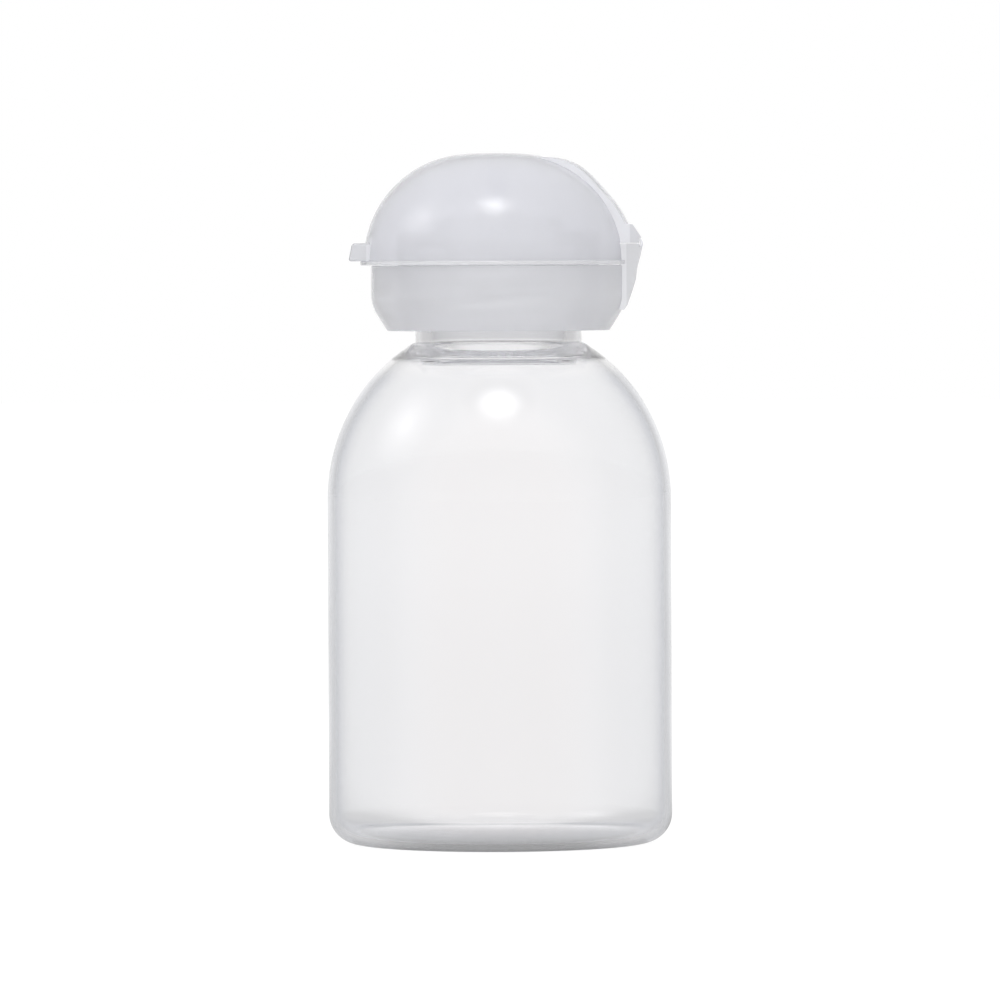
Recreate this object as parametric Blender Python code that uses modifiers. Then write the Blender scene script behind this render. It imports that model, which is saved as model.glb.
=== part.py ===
"""Clear round travel bottle with a flip-top screw cap.

Metres, +Z up, origin at the centre of the base. The lid's thumb tab points to -X and its hinge is at +X.
"""

import math

import bmesh
import bpy
from mathutils import Matrix, Vector

MM = 0.001

# How finely round pieces are divided
TURN_STEPS = 40
ROUND_STEPS = 3
CURVE_STEPS = 9
SHOULDER_STEPS = 11
HELIX_STEPS_A_TURN = 28
TURN_MERGE = 0.005 * MM
CURVE_MERGE = 0.001 * MM

# Clearances
SEAT_GAP = 0.2 * MM
SLIP_GAP = 0.25 * MM
THREAD_GAP = 0.35 * MM
LUG_GAP = 0.3 * MM
SEAM_GAP = 0.08 * MM
FILM_GAP = 0.05 * MM
OVERRUN = 2.0 * MM

# Bottle body
BODY_RADIUS = 19.25 * MM
BODY_HEIGHT = 38.6 * MM
BODY_WALL = 0.75 * MM
BASE_WALL = 0.8 * MM
BASE_CORNER = 3.3 * MM
FOOT_WIDTH = 1.2 * MM
PUSH_UP = 0.6 * MM
PUSH_UP_SHARES = (0, 0.25, 0.5, 0.75, 1)

# Bottle shoulder: an ellipse that hands over to a short flatter crown below the neck
SHOULDER_HEIGHT = 17.5 * MM
ELLIPSE_RISE_SHARE = 1.144
ELLIPSE_END_SHARE = 0.836
CROWN_SLOPE = math.radians(15)
CROWN_HANDLE_SHARE = 0.465

# Bottle neck
NECK_RADIUS = 9.3 * MM
NECK_BORE_RADIUS = 7.55 * MM
NECK_HEIGHT = 10.4 * MM
NECK_ROOT_WALL = 2.6 * MM
NECK_TAPER = 3.0 * MM
LIP_ROUNDING = 0.4 * MM

# Screw thread, right-handed, with one round ridge on the neck and one in the cap
THREAD_LEAD = 3.0 * MM
THREAD_RIDGE = 0.7 * MM
RIDGE_STAND = 0.05 * MM
NECK_THREAD_TURNS = 1.5
NECK_THREAD_START = 3.35 * MM
NECK_THREAD_ANGLE = math.radians(180)
CAP_THREAD_TURNS = 1.25
CAP_THREAD_ANGLE = math.radians(240)
THREAD_FADE_SHARE = 0.12
RIDGE_END_SHARE = 0.3

# Cap core: threaded sleeve, seat flange, deck, raised turret and nozzle
SLEEVE_WALL = 0.85 * MM
SLEEVE_LIFT = 0.3 * MM
SLEEVE_CHAMFER = 0.25 * MM
SEAT_FLANGE = 1.0 * MM
DECK_WALL = 0.9 * MM
DECK_ROUNDING = 0.5 * MM
TURRET_RADIUS = 7.2 * MM
TURRET_HEIGHT = 1.6 * MM
TURRET_WALL = 1.0 * MM
NOZZLE_RADIUS = 2.6 * MM
NOZZLE_HEIGHT = 1.4 * MM
NOZZLE_HOLE = 1.25 * MM
NOZZLE_ROUNDING = 0.3 * MM

# Seal plug
PLUG_FLANGE = 0.5 * MM
PLUG_DEPTH = 3.0 * MM
PLUG_WALL = 0.8 * MM
PLUG_TAPER = 0.3 * MM
PLUG_HOLE = 1.75 * MM

# Cap shell
CAP_STANDOFF = 1.3 * MM
SHELL_GAP = 0.4 * MM
FOOT_WALL = 0.8 * MM
CHAMFER_WIDTH = 1.8 * MM
CHAMFER_ANGLE = math.radians(32.4)
CHAMFER_BLEND = 4.4 * MM
SHELL_WALL = 1.0 * MM
SEAM_DROP = 1.8 * MM
LEDGE_DROP = 1.8 * MM
LEDGE_WIDTH = 0.75 * MM
SHELL_ROUNDING = 0.2 * MM

# Lid
LID_OVERHANG = 0.4 * MM
LID_FORWARD = 0.4 * MM
LID_WALL = 1.0 * MM
CROWN_FLAT = 2.7 * MM
CROWN_ANGLE = math.radians(85)
RIM_BEAD = 0.4 * MM
RIM_HEIGHT = 0.47 * MM
PIN_RADIUS = 0.95 * MM
PIN_DEPTH = 0.8 * MM
PIN_TAPER = 0.25 * MM

# Thumb tab
TAB_LENGTH = 1.65 * MM
TAB_WIDTH = 9.0 * MM
TAB_THICKNESS = 2.0 * MM
TAB_SLANT = 0.4 * MM
TAB_ROUNDING = 0.3 * MM

# Strap over the lid's back: along it from the foot to the start, and how far it stands over the dome
STRAP_ANGLE = math.radians(76)
STRAP_PROUD = 1.0 * MM
STRAP_SHARES = (
    (0, 1.0),
    (0.24, 1.0),
    (0.3, 0.92),
    (0.38, 0.78),
    (0.46, 0.63),
    (0.53, 0.55),
    (0.6, 0.58),
    (0.67, 0.66),
    (0.74, 0.72),
    (0.8, 0.66),
    (0.86, 0.52),
    (0.93, 0.27),
    (1.0, -0.1),
)

# Hinge lugs and film
HINGE_WIDTH = 7.0 * MM
HINGE_RISE = 2.4 * MM
HINGE_REACH = 1.9 * MM
UPPER_LUG_HEIGHT = 2.15 * MM
LOWER_LUG_HEIGHT = 7.4 * MM
FILM_THICKNESS = 0.35 * MM
FILM_HEIGHT = 0.9 * MM
FILM_INSET = 0.1 * MM

# Outer face of each lug: how far it stands out and how far it lies from the hinge, from the hinge outwards
UPPER_LUG_SHARES = ((0.905, 0.235), (0.863, 0.36), (0.626, 0.675), (0.395, 0.97), (0.2, 1.0))
LOWER_LUG_SHARES = (
    (0.968, 0.048),
    (0.86, 0.175),
    (0.76, 0.27),
    (0.69, 0.335),
    (0.635, 0.42),
    (0.58, 0.54),
    (0.4, 0.69),
    (0.2, 0.84),
    (0.09, 0.92),
    (-0.1, 1.0),
)

# Outer face of the film, from its foot to its top: how far up and how deep under the hinge's face
FILM_SHARES = ((0, 0.25), (0.25, 0), (0.55, 0), (1, 0.5))

# Heights worked out from the sizes above
NECK_ROOT_Z = BODY_HEIGHT + SHOULDER_HEIGHT
NECK_TOP_Z = NECK_ROOT_Z + NECK_HEIGHT
NECK_THREAD_Z = NECK_ROOT_Z + NECK_THREAD_START
PLUG_SEAT_Z = NECK_TOP_Z + SEAT_GAP
PLUG_TOP_Z = PLUG_SEAT_Z + PLUG_FLANGE
CEILING_Z = PLUG_TOP_Z + SEAT_GAP
DECK_Z = CEILING_Z + DECK_WALL
TURRET_Z = DECK_Z + TURRET_HEIGHT
NOZZLE_Z = TURRET_Z + NOZZLE_HEIGHT
SHELL_FOOT_Z = NECK_ROOT_Z + CAP_STANDOFF
SLEEVE_FOOT_Z = SHELL_FOOT_Z + SLEEVE_LIFT
SHELL_TOP_Z = NECK_TOP_Z - SEAM_DROP
LEDGE_Z = SHELL_TOP_Z - LEDGE_DROP
LID_FOOT_Z = SHELL_TOP_Z + SEAM_GAP
DOME_Z = LID_FOOT_Z + RIM_HEIGHT
HINGE_Z = SHELL_TOP_Z + HINGE_RISE

# Radii worked out from the sizes above
SLEEVE_BORE = NECK_RADIUS + RIDGE_STAND + THREAD_RIDGE + THREAD_GAP
SLEEVE_RADIUS = SLEEVE_BORE + SLEEVE_WALL
SHELL_FOOT_BORE = SLEEVE_RADIUS + SHELL_GAP
SHELL_FOOT_RADIUS = SHELL_FOOT_BORE + FOOT_WALL
SHELL_RADIUS = SHELL_FOOT_RADIUS + CHAMFER_WIDTH
SHELL_BORE = SHELL_RADIUS - SHELL_WALL
LEDGE_BORE = SHELL_BORE - LEDGE_WIDTH
FLANGE_RADIUS = SHELL_BORE - SLIP_GAP
LID_RADIUS = SHELL_RADIUS + LID_OVERHANG
DOME_ROUND = LID_RADIUS - CROWN_FLAT
HINGE_FACE_X = SHELL_RADIUS + HINGE_REACH
HINGE_X = HINGE_FACE_X - FILM_THICKNESS / 2
FILM_SEAT_X = HINGE_FACE_X - FILM_THICKNESS - FILM_GAP
FILM_SEAT_HALF = FILM_HEIGHT / 2 + FILM_GAP


# Scene helpers

def clear_scene():
    for obj in list(bpy.data.objects):
        bpy.data.objects.remove(obj, do_unlink=True)


def new_collection(name):
    collection = bpy.data.collections.new(name)
    bpy.context.scene.collection.children.link(collection)
    return collection


def new_material(name, colour, roughness, transmission, ior):
    material = bpy.data.materials.new(name)
    material.use_nodes = True
    shader = material.node_tree.nodes["Principled BSDF"]
    shader.inputs["Base Color"].default_value = (*colour, 1.0)
    shader.inputs["Roughness"].default_value = roughness
    shader.inputs["Metallic"].default_value = 0.0
    shader.inputs["IOR"].default_value = ior
    shader.inputs["Transmission Weight"].default_value = transmission
    return material


def new_object(name, mesh, collection):
    obj = bpy.data.objects.new(name, mesh)
    collection.objects.link(obj)
    return obj


def hide_tool(obj):
    obj.hide_render = True
    obj.display_type = "WIRE"


def boolean(obj, tool, operation):
    modifier = obj.modifiers.new(operation.capitalize() + " " + tool.name, "BOOLEAN")
    modifier.operation = operation
    modifier.solver = "EXACT"
    modifier.object = tool


def hang_on(obj, parent):
    """Parents an object and keeps it where it stands in the world."""
    bpy.context.view_layer.update()
    obj.parent = parent
    obj.matrix_parent_inverse = parent.matrix_world.inverted()


def new_axis(name, place, collection, parent=None):
    """An empty that stands on a joint's axis."""
    axis = bpy.data.objects.new(name, None)
    axis.empty_display_size = BODY_WALL
    axis.location = place
    collection.objects.link(axis)
    if parent:
        hang_on(axis, parent)
    return axis


# Outlines

def arc(centre, radius, start, end, steps):
    """Points on an arc, from the start angle to the end angle."""
    points = []
    for step in range(steps + 1):
        angle = start + (end - start) * step / steps
        points.append((centre[0] + radius * math.cos(angle), centre[1] + radius * math.sin(angle)))
    return points


def bezier(a, b, c, d, steps):
    """Points on a cubic curve and its direction at each one."""
    points = []
    for step in range(steps + 1):
        t = step / steps
        s = 1 - t
        place = s**3 * a + 3 * s * s * t * b + 3 * s * t * t * c + t**3 * d
        ahead = s * s * (b - a) + 2 * s * t * (c - b) + t * t * (d - c)
        points.append((place, ahead.normalized()))
    return points


def turned(name, profile, closed, collection, steps=TURN_STEPS):
    """A turned shape: a profile of radius and height, down its outer side, with a Screw modifier."""
    mesh = bpy.data.meshes.new(name)
    shape = bmesh.new()
    corners = [shape.verts.new((radius, 0, height)) for radius, height in profile]
    for one, other in zip(corners, corners[1:]):
        shape.edges.new((one, other))
    if closed:
        shape.edges.new((corners[-1], corners[0]))
    shape.to_mesh(mesh)
    shape.free()
    obj = new_object(name, mesh, collection)
    screw = obj.modifiers.new("Turn", "SCREW")
    screw.axis = "Z"
    screw.angle = math.tau
    screw.steps = steps
    screw.render_steps = steps
    screw.use_merge_vertices = True
    screw.merge_threshold = TURN_MERGE
    screw.use_smooth_shade = True
    return obj


def plate(name, outline, width, collection):
    """A flat outline of X and Z, standing upright, with its thickness along Y on both sides of the middle."""
    curve = bpy.data.curves.new(name, "CURVE")
    curve.dimensions = "2D"
    curve.fill_mode = "BOTH"
    curve.extrude = width / 2
    spline = curve.splines.new("POLY")
    spline.points.add(len(outline) - 1)
    for point, (x, z) in zip(spline.points, outline):
        point.co = (x, z, 0, 1)
    spline.use_cyclic_u = True
    return as_mesh(name, curve, Matrix.Rotation(math.pi / 2, 4, "X"), collection)


def box(name, low, high, collection):
    """A box between two corners."""
    mesh = bpy.data.meshes.new(name)
    shape = bmesh.new()
    bmesh.ops.create_cube(shape, size=1)
    size = Vector(high) - Vector(low)
    bmesh.ops.scale(shape, vec=size, verts=shape.verts)
    shape.to_mesh(mesh)
    shape.free()
    obj = new_object(name, mesh, collection)
    obj.location = (Vector(high) + Vector(low)) / 2
    return obj


def add_rounding(obj, width):
    bevel = obj.modifiers.new("Round the edges", "BEVEL")
    bevel.width = width
    bevel.segments = 2


def as_mesh(name, curve, turn, collection):
    """Turns a curve into a closed mesh object."""
    guide = bpy.data.objects.new(name + "_guide", curve)
    guide.matrix_world = turn
    bpy.context.scene.collection.objects.link(guide)
    bpy.context.view_layer.update()
    mesh = bpy.data.meshes.new_from_object(guide.evaluated_get(bpy.context.evaluated_depsgraph_get()))
    shape = bmesh.new()
    shape.from_mesh(mesh)
    bmesh.ops.remove_doubles(shape, verts=shape.verts, dist=CURVE_MERGE)
    bmesh.ops.recalc_face_normals(shape, faces=shape.faces)
    shape.to_mesh(mesh)
    shape.free()
    mesh.name = name
    obj = new_object(name, mesh, collection)
    obj.matrix_world = turn
    bpy.data.objects.remove(guide, do_unlink=True)
    return obj


def thread_ridge(name, radius, sink, start_z, start_angle, turns, collection):
    """A round ridge along a right-handed helix. Its ends shrink and sink into the wall that carries it."""
    curve = bpy.data.curves.new(name, "CURVE")
    curve.dimensions = "3D"
    curve.bevel_depth = THREAD_RIDGE
    curve.bevel_resolution = 2
    curve.use_fill_caps = True
    steps = round(turns * HELIX_STEPS_A_TURN)
    spline = curve.splines.new("POLY")
    spline.points.add(steps)
    for step, point in enumerate(spline.points):
        share = step / steps
        fade = max(0, 1 - min(share, 1 - share) / THREAD_FADE_SHARE)
        angle = start_angle + math.tau * turns * share
        reach = radius + sink * fade
        height = start_z + THREAD_LEAD * turns * share
        point.co = (reach * math.cos(angle), reach * math.sin(angle), height, 1)
        point.radius = 1 - (1 - RIDGE_END_SHARE) * fade
    return as_mesh(name, curve, Matrix.Identity(4), collection)


# Bottle

def shoulder_points():
    """The shoulder's outer points from the neck down, with their normals and distances from the neck."""
    rise = SHOULDER_HEIGHT * ELLIPSE_RISE_SHARE
    break_angle = math.asin(ELLIPSE_END_SHARE)
    break_point = Vector((BODY_RADIUS * math.cos(break_angle), BODY_HEIGHT + rise * math.sin(break_angle)))
    break_ahead = Vector((BODY_RADIUS * math.sin(break_angle), -rise * math.cos(break_angle))).normalized()
    neck = Vector((NECK_RADIUS, NECK_ROOT_Z))
    neck_ahead = Vector((math.cos(CROWN_SLOPE), -math.sin(CROWN_SLOPE)))
    handle = (break_point - neck).length * CROWN_HANDLE_SHARE
    crown = bezier(
        neck, neck + neck_ahead * handle, break_point - break_ahead * handle, break_point, ROUND_STEPS + 1
    )
    places = [(place, Vector((-ahead.y, ahead.x))) for place, ahead in crown]
    for step in range(1, SHOULDER_STEPS + 1):
        angle = break_angle * (1 - step / SHOULDER_STEPS)
        place = Vector((BODY_RADIUS * math.cos(angle), BODY_HEIGHT + rise * math.sin(angle)))
        normal = Vector((rise * math.cos(angle), BODY_RADIUS * math.sin(angle))).normalized()
        places.append((place, normal))
    points = []
    distance = 0
    previous = places[0][0]
    for place, normal in places:
        distance += (place - previous).length
        previous = place
        points.append((place, normal, distance))
    return points


def shoulder_wall(distance):
    """The wall is thick at the neck and thins out down the shoulder."""
    left = max(0, 1 - distance / NECK_TAPER)
    return BODY_WALL + (NECK_ROOT_WALL - BODY_WALL) * left**2


def bottle_profile():
    """From the middle of the floor up the inside, over the lip and down the outside to the base."""
    shoulder = shoulder_points()
    inner_radius = BODY_RADIUS - BODY_WALL
    corner = BASE_CORNER - BODY_WALL
    floor_z = BASE_WALL
    foot_outer = BODY_RADIUS - BASE_CORNER
    foot_inner = foot_outer - FOOT_WIDTH
    floor = [(foot_inner * share, floor_z + PUSH_UP * (1 - share**2)) for share in PUSH_UP_SHARES]
    inside_corner = arc(
        (inner_radius - corner, floor_z + corner), corner, -math.pi / 2, 0, ROUND_STEPS + 1
    )
    inside = []
    for place, normal, distance in reversed(shoulder):
        inside.append(tuple(place - normal * shoulder_wall(distance)))
    root = inside[-1]
    bore_foot_z = root[1] + (root[0] - NECK_BORE_RADIUS) * math.tan(CROWN_SLOPE)
    lip_inside = arc(
        (NECK_BORE_RADIUS + LIP_ROUNDING, NECK_TOP_Z - LIP_ROUNDING),
        LIP_ROUNDING, math.pi, math.pi / 2, ROUND_STEPS,
    )
    lip_outside = arc(
        (NECK_RADIUS - LIP_ROUNDING, NECK_TOP_Z - LIP_ROUNDING), LIP_ROUNDING, math.pi / 2, 0, ROUND_STEPS
    )
    outside = [tuple(place) for place, _, _ in shoulder]
    outside_corner = arc((foot_outer, BASE_CORNER), BASE_CORNER, 0, -math.pi / 2, ROUND_STEPS + 2)
    base = [(foot_inner * share, PUSH_UP * (1 - share**2)) for share in reversed(PUSH_UP_SHARES)]
    return (
        floor + inside_corner + inside + [(NECK_BORE_RADIUS, bore_foot_z)] + lip_inside
        + lip_outside + outside + outside_corner + base
    )


def make_bottle(parts, tools):
    bottle = turned("bottle", bottle_profile(), False, parts)
    ridge = thread_ridge(
        "neck_thread", NECK_RADIUS + RIDGE_STAND, -THREAD_RIDGE,
        NECK_THREAD_Z, NECK_THREAD_ANGLE, NECK_THREAD_TURNS, tools,
    )
    boolean(bottle, ridge, "UNION")
    return bottle


# Seal plug

def make_seal_plug(parts):
    radius = NECK_BORE_RADIUS - SLIP_GAP
    inner = radius - PLUG_WALL
    flange = SLEEVE_BORE - SLIP_GAP
    foot_z = PLUG_SEAT_Z - PLUG_DEPTH
    profile = [
        (inner, PLUG_TOP_Z),
        (flange, PLUG_TOP_Z),
        (flange, PLUG_SEAT_Z),
        (radius, PLUG_SEAT_Z),
        (radius, foot_z + PLUG_TAPER),
        (radius - PLUG_TAPER, foot_z),
        (PLUG_HOLE, foot_z),
        (PLUG_HOLE, foot_z + PLUG_WALL),
        (inner, foot_z + PLUG_WALL),
    ]
    return turned("seal_plug", profile, True, parts)


# Cap core

def make_cap_core(parts, tools):
    flange_z = LEDGE_Z + SLIP_GAP
    turret_bore = TURRET_RADIUS - TURRET_WALL
    quarter = math.pi / 2
    profile = [(NOZZLE_HOLE, NOZZLE_Z)]
    profile += arc(
        (NOZZLE_RADIUS - NOZZLE_ROUNDING, NOZZLE_Z - NOZZLE_ROUNDING),
        NOZZLE_ROUNDING, quarter, 0, ROUND_STEPS,
    )
    profile.append((NOZZLE_RADIUS, TURRET_Z))
    profile += arc(
        (TURRET_RADIUS - DECK_ROUNDING, TURRET_Z - DECK_ROUNDING), DECK_ROUNDING, quarter, 0, ROUND_STEPS
    )
    profile.append((TURRET_RADIUS, DECK_Z))
    profile += arc(
        (SLEEVE_RADIUS - DECK_ROUNDING, DECK_Z - DECK_ROUNDING), DECK_ROUNDING, quarter, 0, ROUND_STEPS
    )
    profile += [
        (SLEEVE_RADIUS, flange_z + SEAT_FLANGE),
        (FLANGE_RADIUS, flange_z + SEAT_FLANGE),
        (FLANGE_RADIUS, flange_z),
        (SLEEVE_RADIUS, flange_z),
        (SLEEVE_RADIUS, SLEEVE_FOOT_Z + SLEEVE_CHAMFER),
        (SLEEVE_RADIUS - SLEEVE_CHAMFER, SLEEVE_FOOT_Z),
        (SLEEVE_BORE + SLEEVE_CHAMFER, SLEEVE_FOOT_Z),
        (SLEEVE_BORE, SLEEVE_FOOT_Z + SLEEVE_CHAMFER),
        (SLEEVE_BORE, CEILING_Z),
        (turret_bore, CEILING_Z),
        (turret_bore, TURRET_Z - DECK_WALL),
        (NOZZLE_HOLE, TURRET_Z - DECK_WALL),
    ]
    core = turned("cap_core", profile, True, parts)
    # The cap's ridge lies midway between two turns of the neck's ridge.
    turned_by = CAP_THREAD_ANGLE - NECK_THREAD_ANGLE
    start_z = NECK_THREAD_Z + THREAD_LEAD * (turned_by / math.tau - 0.5)
    ridge = thread_ridge(
        "cap_thread", SLEEVE_BORE, THREAD_RIDGE - SLEEVE_WALL / 2 + RIDGE_STAND,
        start_z, CAP_THREAD_ANGLE, CAP_THREAD_TURNS, tools,
    )
    boolean(core, ridge, "UNION")
    return core


# Cap shell

def shell_bore_at(height):
    """The shell's inner radius: a cone below the ledge, straight above it."""
    if height >= LEDGE_Z:
        return SHELL_BORE
    share = (height - SHELL_FOOT_Z) / (LEDGE_Z - SHELL_FOOT_Z)
    return SHELL_FOOT_BORE + (LEDGE_BORE - SHELL_FOOT_BORE) * share


def shell_radius_at(height):
    """The shell's outer radius where the chamfer is taken as a plain cone."""
    return min(SHELL_RADIUS, SHELL_FOOT_RADIUS + (height - SHELL_FOOT_Z) * math.tan(CHAMFER_ANGLE))


def make_cap_shell(parts, tools):
    corner_z = SHELL_FOOT_Z + CHAMFER_WIDTH / math.tan(CHAMFER_ANGLE)
    blend_centre = (SHELL_RADIUS - CHAMFER_BLEND, corner_z + CHAMFER_BLEND * math.tan(CHAMFER_ANGLE / 2))
    profile = [(SHELL_BORE, SHELL_TOP_Z)]
    profile += arc(
        (SHELL_RADIUS - SHELL_ROUNDING, SHELL_TOP_Z - SHELL_ROUNDING),
        SHELL_ROUNDING, math.pi / 2, 0, ROUND_STEPS,
    )
    profile += arc(blend_centre, CHAMFER_BLEND, 0, -CHAMFER_ANGLE, ROUND_STEPS + 1)
    profile += [
        (SHELL_FOOT_RADIUS, SHELL_FOOT_Z),
        (SHELL_FOOT_BORE, SHELL_FOOT_Z),
        (LEDGE_BORE, LEDGE_Z),
        (SHELL_BORE, LEDGE_Z),
    ]
    shell = turned("cap_shell", profile, True, parts)
    lug = plate("lower_lug", lower_lug_outline(), HINGE_WIDTH, tools)
    boolean(shell, lug, "UNION")
    return shell


def shell_joint_x(height):
    """A place inside the shell's wall over the lug's whole width."""
    half = HINGE_WIDTH / 2
    outer = math.sqrt(shell_radius_at(height) ** 2 - half**2)
    return (shell_bore_at(height) + outer) / 2


def lower_lug_outline():
    top_z = HINGE_Z - LUG_GAP / 2
    foot_z = top_z - LOWER_LUG_HEIGHT
    outline = [
        (shell_joint_x(LEDGE_Z), top_z),
        (FILM_SEAT_X, top_z),
        (FILM_SEAT_X, HINGE_Z - FILM_SEAT_HALF),
    ]
    for out, down in LOWER_LUG_SHARES:
        outline.append((SHELL_RADIUS + HINGE_REACH * out, top_z - LOWER_LUG_HEIGHT * down))
    outline.append((shell_joint_x(foot_z), foot_z))
    outline.append((shell_joint_x(LEDGE_Z), LEDGE_Z))
    return outline


# Lid, drawn about the dome's own axis

def dome_radius_at(height, inset):
    """The dome's radius at a height, for its outer face or for a face set in from it."""
    ball = DOME_ROUND - inset
    return CROWN_FLAT + math.sqrt(max(0, ball**2 - (height - DOME_Z) ** 2))


def dome_joint(height, width):
    """A distance from the dome's axis that lies inside its wall over a lug's or tab's whole width."""
    outer = math.sqrt(dome_radius_at(height, 0) ** 2 - (width / 2) ** 2)
    return (dome_radius_at(height, LID_WALL) + outer) / 2


def crown_points(inset, steps):
    """The near-flat crown from the dome's round side to the axis, meeting it without a corner."""
    crown_round = DOME_ROUND - inset + CROWN_FLAT / math.cos(CROWN_ANGLE)
    centre_z = DOME_Z - CROWN_FLAT * math.tan(CROWN_ANGLE)
    return arc((0, centre_z), crown_round, CROWN_ANGLE, math.pi / 2, steps)


def dome_profile():
    """From the top of the crown down the outside, round the rim bead and up the inside to the axis."""
    outside = list(reversed(crown_points(0, 2)))
    outside += arc((CROWN_FLAT, DOME_Z), DOME_ROUND, CROWN_ANGLE, 0, CURVE_STEPS + 3)[1:]
    rim = [
        (LID_RADIUS + RIM_BEAD, DOME_Z),
        (LID_RADIUS + RIM_BEAD, LID_FOOT_Z),
        (LID_RADIUS - LID_WALL, LID_FOOT_Z),
    ]
    inside = arc((CROWN_FLAT, DOME_Z), DOME_ROUND - LID_WALL, 0, CROWN_ANGLE, CURVE_STEPS + 1)
    inside += crown_points(LID_WALL, 2)[1:]
    outside[0] = (0, outside[0][1])
    inside[-1] = (0, inside[-1][1])
    return outside + rim + inside


def upper_lug_outline():
    """About the dome's axis. Its foot runs on below the notch that trims it."""
    reach = HINGE_FACE_X + LID_FORWARD - LID_RADIUS
    low_z = HINGE_Z - LUG_GAP
    top_z = HINGE_Z + UPPER_LUG_HEIGHT
    outline = [
        (dome_joint(low_z, HINGE_WIDTH), low_z),
        (dome_joint(top_z, HINGE_WIDTH), top_z),
    ]
    for out, up in reversed(UPPER_LUG_SHARES):
        outline.append((LID_RADIUS + reach * out, HINGE_Z + UPPER_LUG_HEIGHT * up))
    outline += [
        (FILM_SEAT_X + LID_FORWARD, HINGE_Z + FILM_SEAT_HALF),
        (FILM_SEAT_X + LID_FORWARD, low_z),
    ]
    return outline


def make_strap(tools):
    """The raised strap: a turned ring over the dome, cut to the strap's width."""
    outside = []
    for along, proud in reversed(STRAP_SHARES):
        angle = STRAP_ANGLE * along
        reach = DOME_ROUND + STRAP_PROUD * proud
        outside.append((CROWN_FLAT + reach * math.cos(angle), DOME_Z + reach * math.sin(angle)))
    inside = arc((CROWN_FLAT, DOME_Z), DOME_ROUND - LID_WALL / 2, 0, STRAP_ANGLE, CURVE_STEPS + 1)
    strap = turned("strap", outside + inside, True, tools)
    half = HINGE_WIDTH / 2
    gate = box(
        "strap_gate",
        (0, -half, HINGE_Z + LUG_GAP),
        (LID_RADIUS + OVERRUN, half, DOME_Z + DOME_ROUND + OVERRUN),
        tools,
    )
    boolean(strap, gate, "INTERSECT")
    return strap


def make_tab(tools):
    low_z = DOME_Z
    high_z = DOME_Z + TAB_THICKNESS
    tip = LID_RADIUS + TAB_LENGTH
    joint = dome_joint((low_z + high_z) / 2, TAB_WIDTH)
    outline = [(-joint, low_z), (-joint, high_z), (-tip + TAB_SLANT, high_z), (-tip, low_z)]
    tab = plate("thumb_tab", outline, TAB_WIDTH, tools)
    add_rounding(tab, TAB_ROUNDING)
    return tab


def make_pin(tools):
    """The pin that closes the nozzle. It hangs from inside the crown, on the cap's axis."""
    top_z = DOME_Z + DOME_ROUND - LID_WALL / 2
    tip_z = NOZZLE_Z - PIN_DEPTH
    profile = [
        (0, top_z),
        (PIN_RADIUS, top_z),
        (PIN_RADIUS, tip_z + PIN_TAPER),
        (PIN_RADIUS - PIN_TAPER, tip_z),
        (0, tip_z),
    ]
    return turned("sealing_pin", profile, False, tools, TURN_STEPS // 2)


def make_lid(parts, tools):
    lid = turned("lid", dome_profile(), False, parts)
    tools_in_place = [
        (plate("upper_lug", upper_lug_outline(), HINGE_WIDTH, tools), -LID_FORWARD),
        (make_strap(tools), -LID_FORWARD),
        (make_tab(tools), -LID_FORWARD),
        (make_pin(tools), 0),
    ]
    lid.location.x = -LID_FORWARD
    for tool, shift in tools_in_place:
        tool.location.x += shift
        boolean(lid, tool, "UNION")
    half = HINGE_WIDTH / 2 + LUG_GAP
    notch = box(
        "lug_notch",
        (SHELL_BORE - OVERRUN, -half, LID_FOOT_Z - OVERRUN),
        (HINGE_FACE_X + OVERRUN, half, HINGE_Z + LUG_GAP / 2),
        tools,
    )
    boolean(lid, notch, "DIFFERENCE")
    return lid


def make_living_hinge(parts):
    """The film: flat inside, and outside following the two lugs' faces."""
    low_z = HINGE_Z - FILM_HEIGHT / 2
    outline = [(HINGE_FACE_X - FILM_THICKNESS * deep, low_z + FILM_HEIGHT * up) for up, deep in FILM_SHARES]
    outline.append((HINGE_FACE_X - FILM_THICKNESS, low_z + FILM_HEIGHT))
    outline.append((HINGE_FACE_X - FILM_THICKNESS, low_z))
    return plate("living_hinge", outline, HINGE_WIDTH - 2 * FILM_INSET, parts)


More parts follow.
